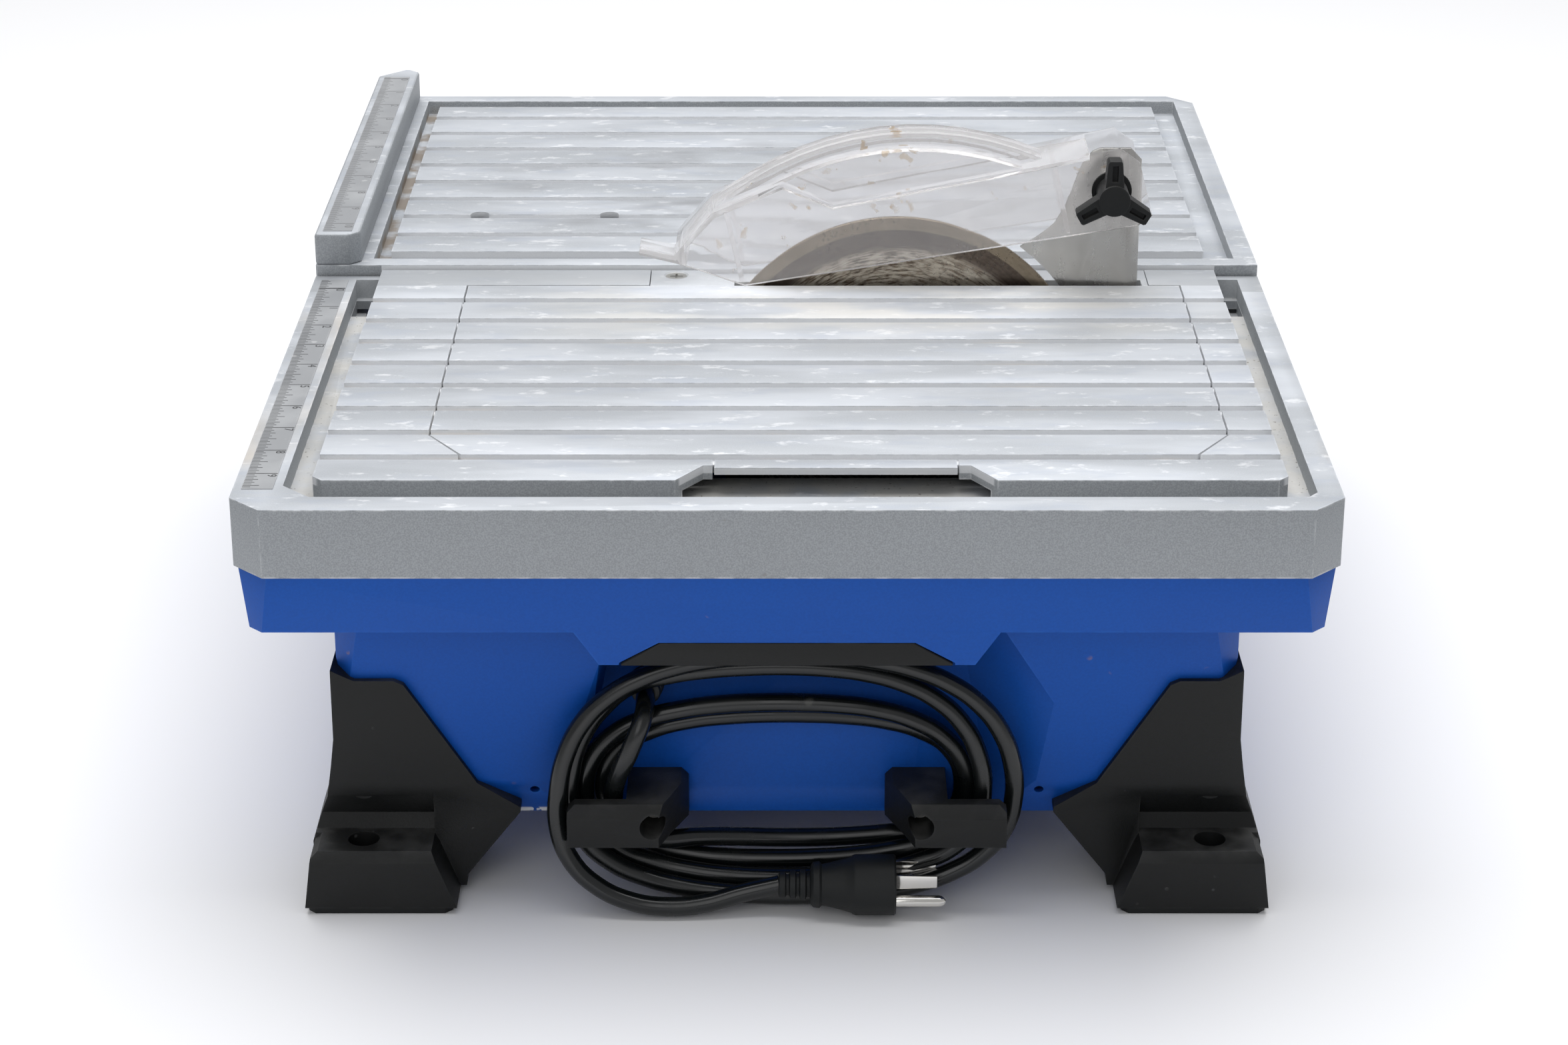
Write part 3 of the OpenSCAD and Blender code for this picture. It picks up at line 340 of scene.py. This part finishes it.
# The plug is moulded onto the cord: a ribbed sleeve, a body with a waist for the fingers and a
# flat round front, with two flat pins and a round earth pin of nickelled brass.
PLUG_AT = Vector((-0.003, -0.268, 0.0142))
plug_shape = bmesh.new()
sleeve = [(-0.5, 0), (-0.5, 4.7), (0.2, 5.4), (2.2, 5.6), (2.8, 4.5), (3.8, 4.5), (4.4, 5.9), (6.4, 6.1),
    (7, 4.8), (8, 4.8), (8.6, 6.4), (10.6, 6.6), (11.2, 5.2), (12.4, 5.4), (13, 8.6), (14, 9.7), (16.4, 9.9),
    (17.4, 8.8), (21, 9.5), (26, 10.8), (29.6, 11.9), (30.4, 12.6), (31.4, 12.95), (47.2, 12.95), (48, 12.2),
    (48, 0)]
turned(sleeve, PLUG_AT, (1, 0, 0), shape=plug_shape)
bmesh.ops.scale(plug_shape, vec=(1, 0.96, 0.98), space=Matrix.Translation(-PLUG_AT), verts=plug_shape.verts)
plug = mesh_piece(plug_shape, "plug", "base", "cord_jacket", rubber, "plug_body")

nickel = worn_finish("nickel plate", metallic=1.0, bump=0.05, colour=(0.78, 0.76, 0.72),
    cloud_colour=(0.6, 0.57, 0.52), roughness=0.18, roughness_spread=0.1, edge_amount=0.0)
pins = bmesh.new()
turned([(48, 0), (48, 2.4), (66, 2.4), (67.6, 1.9), (68.5, 0.9), (68.5, 0)],
    PLUG_AT + Vector((0, -5, -5)) * MM, (1, 0, 0), 24, shape=pins)
for side in (-1, 1):
    made = bmesh.ops.create_cube(pins, size=1)["verts"]
    bmesh.ops.scale(pins, vec=Vector((17, 1.5, 6.3)) * MM, verts=made)
    tip = [v for v in made if v.co.x > 0]
    bmesh.ops.scale(pins, vec=(1, 0.7, 0.86), verts=tip)
    bmesh.ops.translate(pins, vec=PLUG_AT + Vector((56.5, 3 + 6.3 * side, 3.15)) * MM, verts=made)
    edges = list({e for v in made for e in v.link_edges})
    bmesh.ops.bevel(pins, geom=edges, offset=0.3 * MM, segments=2, profile=0.5, affect="EDGES", material=-1)
pins = mesh_piece(pins, "plug_blades", "base", "plug_metal", nickel, "plug_pins")


# ---------------------------------------------------------------- cord hooks
# Two nylon hooks hold the wound cord. Each is moulded as a post with a plate across its end,
# and one screw through it goes into the wall of the recess.

def rounded_copy(node, name, body, slot, material, radius, segments=2, least=25, smooth=35):
    """The CAD solid again, with the small rounds of a moulded or cast edge"""
    shape = bmesh.new()
    shape.from_mesh(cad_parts[node].data)
    bmesh.ops.remove_doubles(shape, verts=shape.verts, dist=2e-5)
    bmesh.ops.dissolve_limit(shape, angle_limit=math.radians(0.6), verts=shape.verts, edges=shape.edges)
    sharp = [e for e in shape.edges if e.is_manifold and e.calc_face_angle() > math.radians(least)]
    bmesh.ops.bevel(shape, geom=sharp, offset=radius * MM, offset_type="OFFSET", segments=segments,
        profile=0.5, affect="EDGES", clamp_overlap=True, material=-1)
    return mesh_piece(shape, name, body, slot, material, node, smooth=smooth)


black_plastic = worn_finish("black textured plastic", bump=0.35, sheen=0.28,
    colour=(0.0062, 0.0068, 0.0068), cloud_colour=(0.013, 0.0135, 0.0135), cloud_scale=16.0,
    cloud_amount=0.6, grain_scale=1300.0, grain_height=0.5, roughness=0.5, roughness_spread=0.14,
    edge_colour=(0.04, 0.041, 0.041), edge_amount=0.45, edge_width=0.0013,
    speck_colour=(0.13, 0.13, 0.13), speck_scale=150.0, speck_amount=0.4)
# pale dust lies on the faces that look up
tree = black_plastic.node_tree
facing = add_node(tree, "ShaderNodeSeparateXYZ")
tree.links.new(add_node(tree, "ShaderNodeNewGeometry").outputs["Normal"], facing.inputs[0])
dusty = sums(tree, "MULTIPLY", ramp(tree, facing.outputs["Z"], 0.55, 0.95),
    ramp(tree, noise(tree, 55.0, 6), 0.4, 0.72, 0.15, 0.8))
tree.links.new(blend_colours(tree, sums(tree, "MULTIPLY", dusty, 0.55),
    tree.nodes["worn"].outputs["Colour"], (0.13, 0.13, 0.125)),
    tree.nodes["Principled BSDF"].inputs["Base Color"])
for side in ("left", "right"):
    rounded_copy("cord_hook_" + side, "hook_" + side, "base", "black_plastic", black_plastic, 1.4, 3)
zinc = worn_finish("zinc plate", metallic=1.0, bump=0.1, colour=(0.55, 0.55, 0.53),
    cloud_colour=(0.42, 0.40, 0.36), cloud_scale=90.0, cloud_amount=0.6, roughness=0.36,
    roughness_spread=0.14, edge_colour=(0.75, 0.75, 0.75), edge_amount=0.4, edge_width=0.0006)


def refinish(material, *nodes):
    """A better finish on CAD nodes whose shape is right as it is"""
    for node in nodes:
        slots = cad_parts[node].data.materials
        for place in range(len(slots)):
            slots[place] = material


refinish(zinc, "cord_hook_screws")

# ---------------------------------------------------------------- base
# The base is one blue moulding with a tapered tub, a skirt that meets the tables, and a recess
# at the front. The black grip is pushed into the skirt's lip above the recess.

blue_plastic = worn_finish("blue moulded plastic", bump=0.16, sheen=0.25,
    colour=(0.0035, 0.072, 0.37), cloud_colour=(0.005, 0.084, 0.41), cloud_scale=7.0,
    cloud_amount=0.5, grain_scale=900.0, grain_height=0.3, grain_tint=0.10, roughness=0.5,
    roughness_spread=0.1, edge_colour=(0.025, 0.17, 0.62), edge_amount=0.35, edge_width=0.0016,
    speck_colour=(0.33, 0.20, 0.13), speck_scale=85.0, speck_amount=0.9)
# the paint is chipped to white along the tub's bottom edge, by the left hook
tree = blue_plastic.node_tree
shader = tree.nodes["Principled BSDF"]
where = add_node(tree, "ShaderNodeSeparateXYZ")
tree.links.new(add_node(tree, "ShaderNodeTexCoord").outputs["Object"], where.inputs[0])
low = sums(tree, "MULTIPLY", ramp(tree, where.outputs["Z"], 0.0350, 0.0336),
    ramp(tree, where.outputs["Y"], -0.20, -0.22))
left = sums(tree, "MULTIPLY", ramp(tree, where.outputs["X"], -0.118, -0.114),
    ramp(tree, where.outputs["X"], -0.094, -0.098))
chip = sums(tree, "MULTIPLY", sums(tree, "MULTIPLY", low, left),
    ramp(tree, noise(tree, 260.0, 3), 0.42, 0.5))
tree.links.new(blend_colours(tree, chip, tree.nodes["worn"].outputs["Colour"], (0.75, 0.77, 0.8)),
    shader.inputs["Base Color"])
rounded_copy("base_tub", "tub", "base", "blue_plastic", blue_plastic, 0.8)
rounded_copy("rear_cover", "motor_cover", "base", "blue_plastic", blue_plastic, 0.5)
rounded_copy("carry_grip", "grip", "base", "black_plastic", black_plastic, 0.8)
refinish(zinc, "rear_cover_screws", "table_screws", "leg_screws")

# The legs are black nylon mouldings screwed up into the tub's corners, each on a rubber pad.
for corner in ("front_left", "front_right", "rear_left", "rear_right"):
    rounded_copy("leg_" + corner, "foot_" + corner, "base", "black_plastic", black_plastic, 1.6, 3)
rounded_copy("foot_pads", "floor_pads", "base", "rubber", rubber, 0.5)

# ---------------------------------------------------------------- tables
# Both tables are pressure die-cast aluminium under a silver metallic paint, worn pale on top of
# the lands by tiles and water, with lime and rust in the grooves round the blade.

# its pale, wide, strong edge colour is partly worn edges and partly a painted highlight along the rounded
# edges of the lands and grooves
silver_paint = worn_finish("silver paint", metallic=0.25, bump=0.3, sheen=0.4,
    colour=(0.295, 0.312, 0.328), cloud_colour=(0.35, 0.37, 0.39), cloud_scale=5.0,
    cloud_amount=0.35, grain_scale=1700.0, grain_height=0.4, grain_tint=0.28, roughness=0.52,
    roughness_spread=0.1, edge_colour=(0.80, 0.81, 0.83), edge_amount=0.85, edge_width=0.0015,
    speck_colour=(0.16, 0.13, 0.10), speck_scale=130.0, speck_amount=0.35)
tree = silver_paint.node_tree
shader = tree.nodes["Principled BSDF"]
place = add_node(tree, "ShaderNodeTexCoord").outputs["Object"]
where = add_node(tree, "ShaderNodeSeparateXYZ")
tree.links.new(place, where.inputs[0])
facing = add_node(tree, "ShaderNodeSeparateXYZ")
tree.links.new(add_node(tree, "ShaderNodeNewGeometry").outputs["True Normal"], facing.inputs[0])
upward = ramp(tree, facing.outputs["Z"], 0.85, 0.97)


def between(value, low, high, soft):
    """A mask that is one between two values, with soft ends"""
    return sums(tree, "MULTIPLY", ramp(tree, value, low - soft, low + soft),
        ramp(tree, value, high + soft, high - soft))


# lands rubbed pale by the work, in long streaks along the cut
streak = ramp(tree, noise(tree, 9.0, 5, place, (1.0, 4.0, 1.0)), 0.38, 0.66)
rubbed = sums(tree, "MULTIPLY", upward, sums(tree, "ADD", sums(tree, "MULTIPLY", streak, 0.4), 0.5))
colour = blend_colours(tree, rubbed, tree.nodes["worn"].outputs["Colour"], (0.60, 0.625, 0.665))
# blue-grey rub marks that break up the pale tops
patch = sums(tree, "MULTIPLY", upward,
    ramp(tree, noise(tree, 30.0, 7, place, (1.0, 3.2, 1.0), 0.6), 0.5, 0.68))
colour = blend_colours(tree, sums(tree, "MULTIPLY", patch, 0.35), colour, (0.40, 0.44, 0.52))
# scuffs left almost bare
bare = sums(tree, "MULTIPLY", upward,
    ramp(tree, noise(tree, 75.0, 7, place, (1.0, 2.2, 1.0), 0.65), 0.57, 0.68))
colour = blend_colours(tree, sums(tree, "MULTIPLY", bare, 0.6), colour, (0.82, 0.83, 0.85))
# cream lime near the blade, thickest along its slot
near_blade = sums(tree, "MULTIPLY", between(where.outputs["Y"], -0.09, -0.024, 0.03),
    between(where.outputs["X"], -0.10, 0.17, 0.06))
lime = sums(tree, "MULTIPLY", sums(tree, "MULTIPLY", near_blade, upward),
    ramp(tree, noise(tree, 16.0, 6, place, (1.0, 3.0, 1.0)), 0.40, 0.62))
colour = blend_colours(tree, sums(tree, "MULTIPLY", lime, 0.6), colour, (0.76, 0.735, 0.68))
# rusty water lines left in the grooves of the lift-off plate
groove = sums(tree, "MULTIPLY", between(where.outputs["Z"], 0.1898, 0.1916, 0.0006),
    between(where.outputs["Y"], -0.24, -0.03, 0.01))
line = sums(tree, "MULTIPLY", groove, ramp(tree, noise(tree, 22.0, 4, place, (1.0, 0.3, 1.0)), 0.5, 0.68))
colour = blend_colours(tree, sums(tree, "MULTIPLY", line, 0.6), colour, (0.66, 0.54, 0.38))
# grey smears on the sliding table behind the blade
behind = sums(tree, "MULTIPLY", between(where.outputs["Y"], 0.03, 0.2, 0.05),
    between(where.outputs["X"], -0.14, 0.1, 0.08))
smear = sums(tree, "MULTIPLY", sums(tree, "MULTIPLY", behind, upward),
    ramp(tree, noise(tree, 13.0, 6, place, (1.0, 2.6, 1.0)), 0.5, 0.7))
colour = blend_colours(tree, sums(tree, "MULTIPLY", smear, 0.55), colour, (0.22, 0.22, 0.23))
# brown dirt in the sliding table's left trough
dirty = sums(tree, "MULTIPLY", between(where.outputs["X"], -0.2, -0.183, 0.004),
    between(where.outputs["Y"], 0.0, 0.28, 0.01))
dirt = sums(tree, "MULTIPLY", sums(tree, "MULTIPLY", dirty, ramp(tree, where.outputs["Z"], 0.194, 0.19)),
    ramp(tree, noise(tree, 60.0, 6), 0.4, 0.6))
colour = blend_colours(tree, sums(tree, "MULTIPLY", dirt, 0.8), colour, (0.22, 0.17, 0.12))
# groove sides painted pale, a painted light that lifts the shade falling in the grooves; level is the height
# above each table's deck
FIXED_DECK = 0.193
SLIDING_DECK = 0.195
deck_top = ramp(tree, where.outputs["Y"], -0.0025, -0.0015, FIXED_DECK, SLIDING_DECK)
level = sums(tree, "SUBTRACT", where.outputs["Z"], deck_top)
groove_painted_light = sums(tree, "MULTIPLY", sums(tree, "MULTIPLY", ramp(tree, level, -0.0036, -0.0030),
    ramp(tree, level, -0.00005, -0.0003)), between(where.outputs["Y"], -0.2615, 0.2645, 0.0008))
groove_painted_light = sums(tree, "MULTIPLY", groove_painted_light, between(where.outputs["X"], -0.1885, 0.199, 0.0003))
# the pale colour here is painted light on the groove walls
colour = blend_colours(tree, sums(tree, "MULTIPLY", groove_painted_light, 0.7), colour, (0.80, 0.81, 0.83))
# sand-coloured silt on the floors of the troughs
silt = sums(tree, "MULTIPLY", sums(tree, "MULTIPLY", upward, ramp(tree, level, -0.008, -0.009)),
    ramp(tree, noise(tree, 45.0, 5), 0.3, 0.6))
colour = blend_colours(tree, sums(tree, "MULTIPLY", silt, 0.6), colour, (0.66, 0.63, 0.57))
grit = sums(tree, "MULTIPLY", silt, ramp(tree, noise(tree, 520.0, 2), 0.66, 0.72))
colour = blend_colours(tree, sums(tree, "MULTIPLY", grit, 0.8), colour, (0.10, 0.08, 0.06))
# the insert by the blade keeps more of its grey
insert = between(where.outputs["Y"], -0.0252, -0.0032, 0.0001)
colour = blend_colours(tree, sums(tree, "MULTIPLY", insert, 0.6), colour, (0.36, 0.375, 0.39))
tree.links.new(colour, shader.inputs["Base Color"])
for node, name, body, radius in [
        ("main_table", "fixed_casting", "base", 1.2),
        ("access_plate", "lift_off_plate", "access_plate", 0.9),
        ("throat_plate", "blade_throat", "base", 0.5),
        ("sliding_table", "sliding_casting", "sliding_table", 1.1),
        ("rip_fence", "fence_casting", "sliding_table", 1.2)]:
    rounded_copy(node, name, body, "painted_casting", silver_paint, radius)
refinish(zinc, "throat_screw", "fence_screws")

# The rulers are printed labels: a full line at each inch with its number, and sixteenths between.
label = worn_finish("printed grey label", metallic=0.25, bump=0.08, colour=(0.36, 0.37, 0.385),
    cloud_colour=(0.48, 0.49, 0.50), cloud_scale=30.0, cloud_amount=0.5, roughness=0.36,
    roughness_spread=0.12, edge_colour=(0.7, 0.7, 0.7), edge_amount=0.3, speck_colour=(0.8, 0.8, 0.8),
    speck_scale=90.0, speck_amount=0.6)
refinish(label, "table_ruler", "fence_ruler")
ink = plain_finish("black ruler ink", (0.03, 0.03, 0.032), 0.5)
worn_ink = plain_finish("worn ruler ink", (0.17, 0.17, 0.175), 0.5)
INCH = 25.4
# the lines' lengths, for marks that fall on each sixteenth, eighth, quarter and half inch
MARK_REACH = {1: 3.2, 2: 4.2, 4: 5.2, 8: 6.4}


def ruler_marks(name, body, material, zero_y, ends, left, right, top, digit):
    """Printed marks on a label that runs towards the front: a flat bar for each line, and the numbers"""
    shape = bmesh.new()

    def bar(x0, x1, y, thick):
        made = bmesh.ops.create_cube(shape, size=1)["verts"]
        bmesh.ops.scale(shape, vec=Vector((x1 - x0, thick, 0.06)) * MM, verts=made)
        bmesh.ops.translate(shape, vec=Vector(((x0 + x1) / 2, y, top + 0.02)) * MM, verts=made)

    first = math.ceil((zero_y - ends[1]) / (INCH / 16))
    last = math.floor((zero_y - ends[0]) / (INCH / 16))
    for step in range(first, last + 1):
        y = zero_y - step * INCH / 16
        if step % 16 == 0:
            bar(left, right, y, 1.2 if step == 0 else 0.5)
        else:
            finest = max(part for part in (1, 2, 4, 8) if step % part == 0)
            bar(left, left + MARK_REACH[finest], y, 0.38)
    for number in range(0, last // 16 + 1):
        words = bpy.data.curves.new("number", "FONT")
        words.body = str(number)
        words.size = digit * MM
        words.extrude = 0.03 * MM
        words.align_x, words.align_y = "LEFT", "BOTTOM"
        text = bpy.data.objects.new("number", words)
        bpy.context.scene.collection.objects.link(text)
        mesh = text.to_mesh()
        fresh = len(shape.verts)
        shape.from_mesh(mesh)
        shape.verts.ensure_lookup_table()
        made = shape.verts[fresh:]
        # turned so that the number's top points right, and set just in front of its line
        turn = Matrix.Rotation(-math.pi / 2, 4, "Z")
        spot = Vector((right - 1.0 - digit * 0.72, zero_y - number * INCH - 0.9, top + 0.02)) * MM
        bmesh.ops.transform(shape, matrix=Matrix.Translation(spot) @ turn, verts=made)
        bpy.data.objects.remove(text)
    mesh_piece(shape, name, body, "ruler_label", material)


ruler_marks("ruler_marks", "base", ink, -21.2, (-265.5, -10), -215.3, -203.2, 190.3, 5.4)
ruler_marks("fence_marks", "sliding_table", worn_ink, 268, (4, 270.5), -215.3, -202.2, 210.3, 5.4)

# ---------------------------------------------------------------- slide
# The sliding table rides on two hard-chromed rods in sintered bronze bushes, held in nylon blocks.
chrome = worn_finish("hard chrome", metallic=1.0, bump=0.04, colour=(0.74, 0.74, 0.75),
    cloud_colour=(0.62, 0.61, 0.6), roughness=0.14, roughness_spread=0.08, edge_amount=0.0)
refinish(chrome, "slide_rods")
refinish(zinc, "rod_screws")
bronze = worn_finish("sintered bronze", metallic=0.9, bump=0.3, colour=(0.50, 0.31, 0.13),
    cloud_colour=(0.30, 0.18, 0.08), grain_tint=0.3, roughness=0.42, roughness_spread=0.15)
refinish(bronze, "rod_bushings")
rounded_copy("rod_blocks", "bush_blocks", "base", "black_plastic", black_plastic, 0.8)

# ---------------------------------------------------------------- motor and switch
# An induction motor hangs behind the wall of the tub, with its run capacitor beside it.
enamel = worn_finish("black motor enamel", bump=0.2, colour=(0.03, 0.03, 0.033),
    cloud_colour=(0.05, 0.05, 0.05), roughness=0.35, edge_colour=(0.3, 0.3, 0.3), edge_amount=0.5)
as_cast = worn_finish("cast aluminium", metallic=0.9, bump=0.4, colour=(0.48, 0.49, 0.50),
    cloud_colour=(0.36, 0.36, 0.36), grain_tint=0.3, roughness=0.5, edge_colour=(0.7, 0.7, 0.7))
winding = worn_finish("varnished windings", bump=0.6, colour=(0.33, 0.13, 0.05),
    cloud_colour=(0.20, 0.07, 0.03), cloud_scale=120.0, grain_scale=700.0, roughness=0.3)
ground = worn_finish("ground steel", metallic=1.0, bump=0.1, colour=(0.46, 0.46, 0.47),
    cloud_colour=(0.36, 0.34, 0.32), roughness=0.3, edge_colour=(0.7, 0.7, 0.7))
refinish(enamel, "motor_housing", "motor_bracket")
refinish(as_cast, "motor_front_bell", "motor_rear_bell")
refinish(winding, "motor_stator")
refinish(ground, "motor_bearings", "motor_rotor", "arbor_shaft", "inner_flange", "outer_flange",
    "arbor_nut", "knife_bracket")
refinish(zinc, "motor_screws", "knife_screws")
refinish(black_plastic, "run_capacitor", "cooling_fan")
refinish(rubber, "shaft_seal")
rounded_copy("switch_box", "switch_housing", "base", "black_plastic", black_plastic, 1.0)
rocker_red = worn_finish("red rocker", bump=0.05, coat=0.2, colour=(0.45, 0.015, 0.015),
    cloud_colour=(0.36, 0.01, 0.01), roughness=0.28, edge_colour=(0.6, 0.1, 0.1), edge_amount=0.2)
rounded_copy("rocker_switch", "rocker", "rocker", "rocker_red", rocker_red, 0.6, 3)
rounded_copy("drain_plug", "tub_plug", "drain_plug", "rubber", rubber, 0.8, 3)

# ---------------------------------------------------------------- knife and blade
# The riving knife is a stainless plate behind the blade, brushed along its height.
stainless = worn_finish("brushed stainless", metallic=1.0, bump=0.1, colour=(0.50, 0.49, 0.47),
    cloud_colour=(0.36, 0.34, 0.31), cloud_scale=18.0, cloud_amount=0.5, roughness=0.33,
    roughness_spread=0.12, edge_colour=(0.75, 0.75, 0.75), edge_amount=0.5)
tree = stainless.node_tree
brushed = noise(tree, 260.0, 3, None, (1.0, 1.0, 0.04))
line = sums(tree, "MULTIPLY", sums(tree, "SUBTRACT", brushed, 0.5), 0.35)
tree.links.new(sums(tree, "ADD", tree.nodes["worn"].outputs["Roughness"], line),
    tree.nodes["Principled BSDF"].inputs["Roughness"])
tree.links.new(sums(tree, "ADD", tree.nodes["worn"].outputs["Height"], line),
    tree.nodes["relief"].inputs["Height"])
rounded_copy("riving_knife", "knife", "base", "stainless", stainless, 0.3)

# The blade is a seven inch steel disc with a thicker continuous diamond rim, brown with rust.
ARBOR = Vector((0.051, -0.0212, 0.1364))
RIM_FROM = (0.0828, 0.0834)
rust = worn_finish("rusty blade", metallic=0.7, bump=0.4, colour=(0.15, 0.115, 0.085),
    cloud_colour=(0.06, 0.036, 0.02), cloud_scale=30.0, cloud_amount=0.9, grain_scale=600.0,
    grain_tint=0.8, roughness=0.42, roughness_spread=0.25, edge_amount=0.2,
    edge_colour=(0.4, 0.36, 0.3))
tree = rust.node_tree
shader = tree.nodes["Principled BSDF"]
hub = add_node(tree, "ShaderNodeMapping", in_Location=-ARBOR)
tree.links.new(add_node(tree, "ShaderNodeTexCoord").outputs["Object"], hub.inputs["Vector"])
flat = add_node(tree, "ShaderNodeSeparateXYZ")
tree.links.new(hub.outputs["Vector"], flat.inputs[0])
squares = [sums(tree, "POWER", sums(tree, "ABSOLUTE", flat.outputs[axis], 0), 2.0) for axis in "XZ"]
far = sums(tree, "SQRT", sums(tree, "ADD", *squares), 0.0)
angle = sums(tree, "ARCTAN2", flat.outputs["Z"], flat.outputs["X"])
polar = add_node(tree, "ShaderNodeCombineXYZ")
tree.links.new(sums(tree, "MULTIPLY", far, 900.0), polar.inputs["X"])
tree.links.new(sums(tree, "MULTIPLY", angle, 9.0), polar.inputs["Y"])
rings = noise(tree, 1.0, 6, polar.outputs[0], None, 0.65)
core = ramp(tree, far, 0.078, 0.070)
shine = sums(tree, "MULTIPLY", ramp(tree, rings, 0.36, 0.60), sums(tree, "ADD",
    sums(tree, "MULTIPLY", core, 0.75), 0.2))
swept = blend_colours(tree, shine, tree.nodes["worn"].outputs["Colour"], (0.50, 0.45, 0.37))
# a darker burnt ring lies just inside the rim
burnt = sums(tree, "MULTIPLY", ramp(tree, far, 0.0725, 0.0755), ramp(tree, far, 0.0836, RIM_FROM[0]))
swept = blend_colours(tree, sums(tree, "MULTIPLY", burnt, 0.7), swept, (0.05, 0.035, 0.028))
rim_band = ramp(tree, far, *RIM_FROM)
band = blend_colours(tree, sums(tree, "MULTIPLY", rim_band, 0.7), swept, (0.22, 0.18, 0.125))
tree.links.new(band, shader.inputs["Base Color"])
scored = sums(tree, "ADD", tree.nodes["worn"].outputs["Height"], sums(tree, "MULTIPLY", rings, 0.5))
tree.links.new(scored, tree.nodes["relief"].inputs["Height"])
blade_edge = [(-0.8, 8.0), (-0.8, 82.6), (-1.1, 83.2), (-1.1, 88.6), (-0.8, 88.9), (0.8, 88.9),
    (1.1, 88.6), (1.1, 83.2), (0.8, 82.6), (0.8, 8.0)]
mesh_piece(turned(blade_edge, ARBOR, (0, 1, 0), 160, closed=True), "blade", "arbor", "rusty_blade",
    rust, "saw_blade")

# ---------------------------------------------------------------- guard
# The guard is one clear polycarbonate moulding, open below and behind, that turns on a bolt
# through the knife; a black three-armed knob clamps it.
CLEAR_TINT = (0.965, 0.955, 0.955)
clear = plain_finish("clear polycarbonate", CLEAR_TINT, 0.05)
tree = clear.node_tree
shader = tree.nodes["Principled BSDF"]
shader.inputs["Transmission Weight"].default_value = 0.9
shader.inputs["IOR"].default_value = 1.12
spots = sums(tree, "MULTIPLY", ramp(tree, noise(tree, 130.0, 3), 0.66, 0.72),
    ramp(tree, noise(tree, 22.0, 2), 0.52, 0.6))
haze = ramp(tree, noise(tree, 35.0, 5), 0.35, 0.75, 0.10, 0.22)
tree.links.new(blend_colours(tree, spots, CLEAR_TINT, (0.62, 0.48, 0.33)), shader.inputs["Base Color"])
tree.links.new(sums(tree, "ADD", haze, sums(tree, "MULTIPLY", spots, 0.4)), shader.inputs["Roughness"])
through = add_node(tree, "ShaderNodeBsdfTransparent", in_Color=(0.93, 0.93, 0.935, 1))
which = add_node(tree, "ShaderNodeMixShader")
tree.links.new(add_node(tree, "ShaderNodeLightPath").outputs["Is Shadow Ray"], which.inputs[0])
tree.links.new(shader.outputs[0], which.inputs[1])
tree.links.new(through.outputs[0], which.inputs[2])
tree.links.new(which.outputs[0], tree.nodes["Material Output"].inputs["Surface"])
rounded_copy("blade_guard", "guard_shell", "guard", "clear_guard", clear, 0.6, 2, smooth=30)
# two upright ribs on each side of the box, moulded with it, from a foot to a head (x, z) in mm
GUARD_SIDES = (-39.4, -2.9)
ribs = bmesh.new()
for foot, head in (((-20, 199.5), (-27.5, 233)), ((127, 223), (120.5, 253))):
    for y in GUARD_SIDES:
        made = bmesh.ops.create_cube(ribs, size=1)["verts"]
        bmesh.ops.scale(ribs, vec=Vector((2.2, 0.7, 1)) * MM, verts=made)
        for v in made:
            x, z = head if v.co.z > 0 else foot
            v.co += Vector((x, y, z)) * MM
            v.co.z = z * MM
        bmesh.ops.bevel(ribs, geom=list({e for v in made for e in v.link_edges}), offset=0.25 * MM,
            segments=2, profile=0.5, affect="EDGES", material=-1)
mesh_piece(ribs, "guard_ribs", "guard", "clear_guard", clear)
refinish(zinc, "guard_pivot_bolt")
refinish(black_plastic, "knob_washer")
rounded_copy("guard_knob", "knob", "knob", "black_plastic", black_plastic, 0.7, 3)
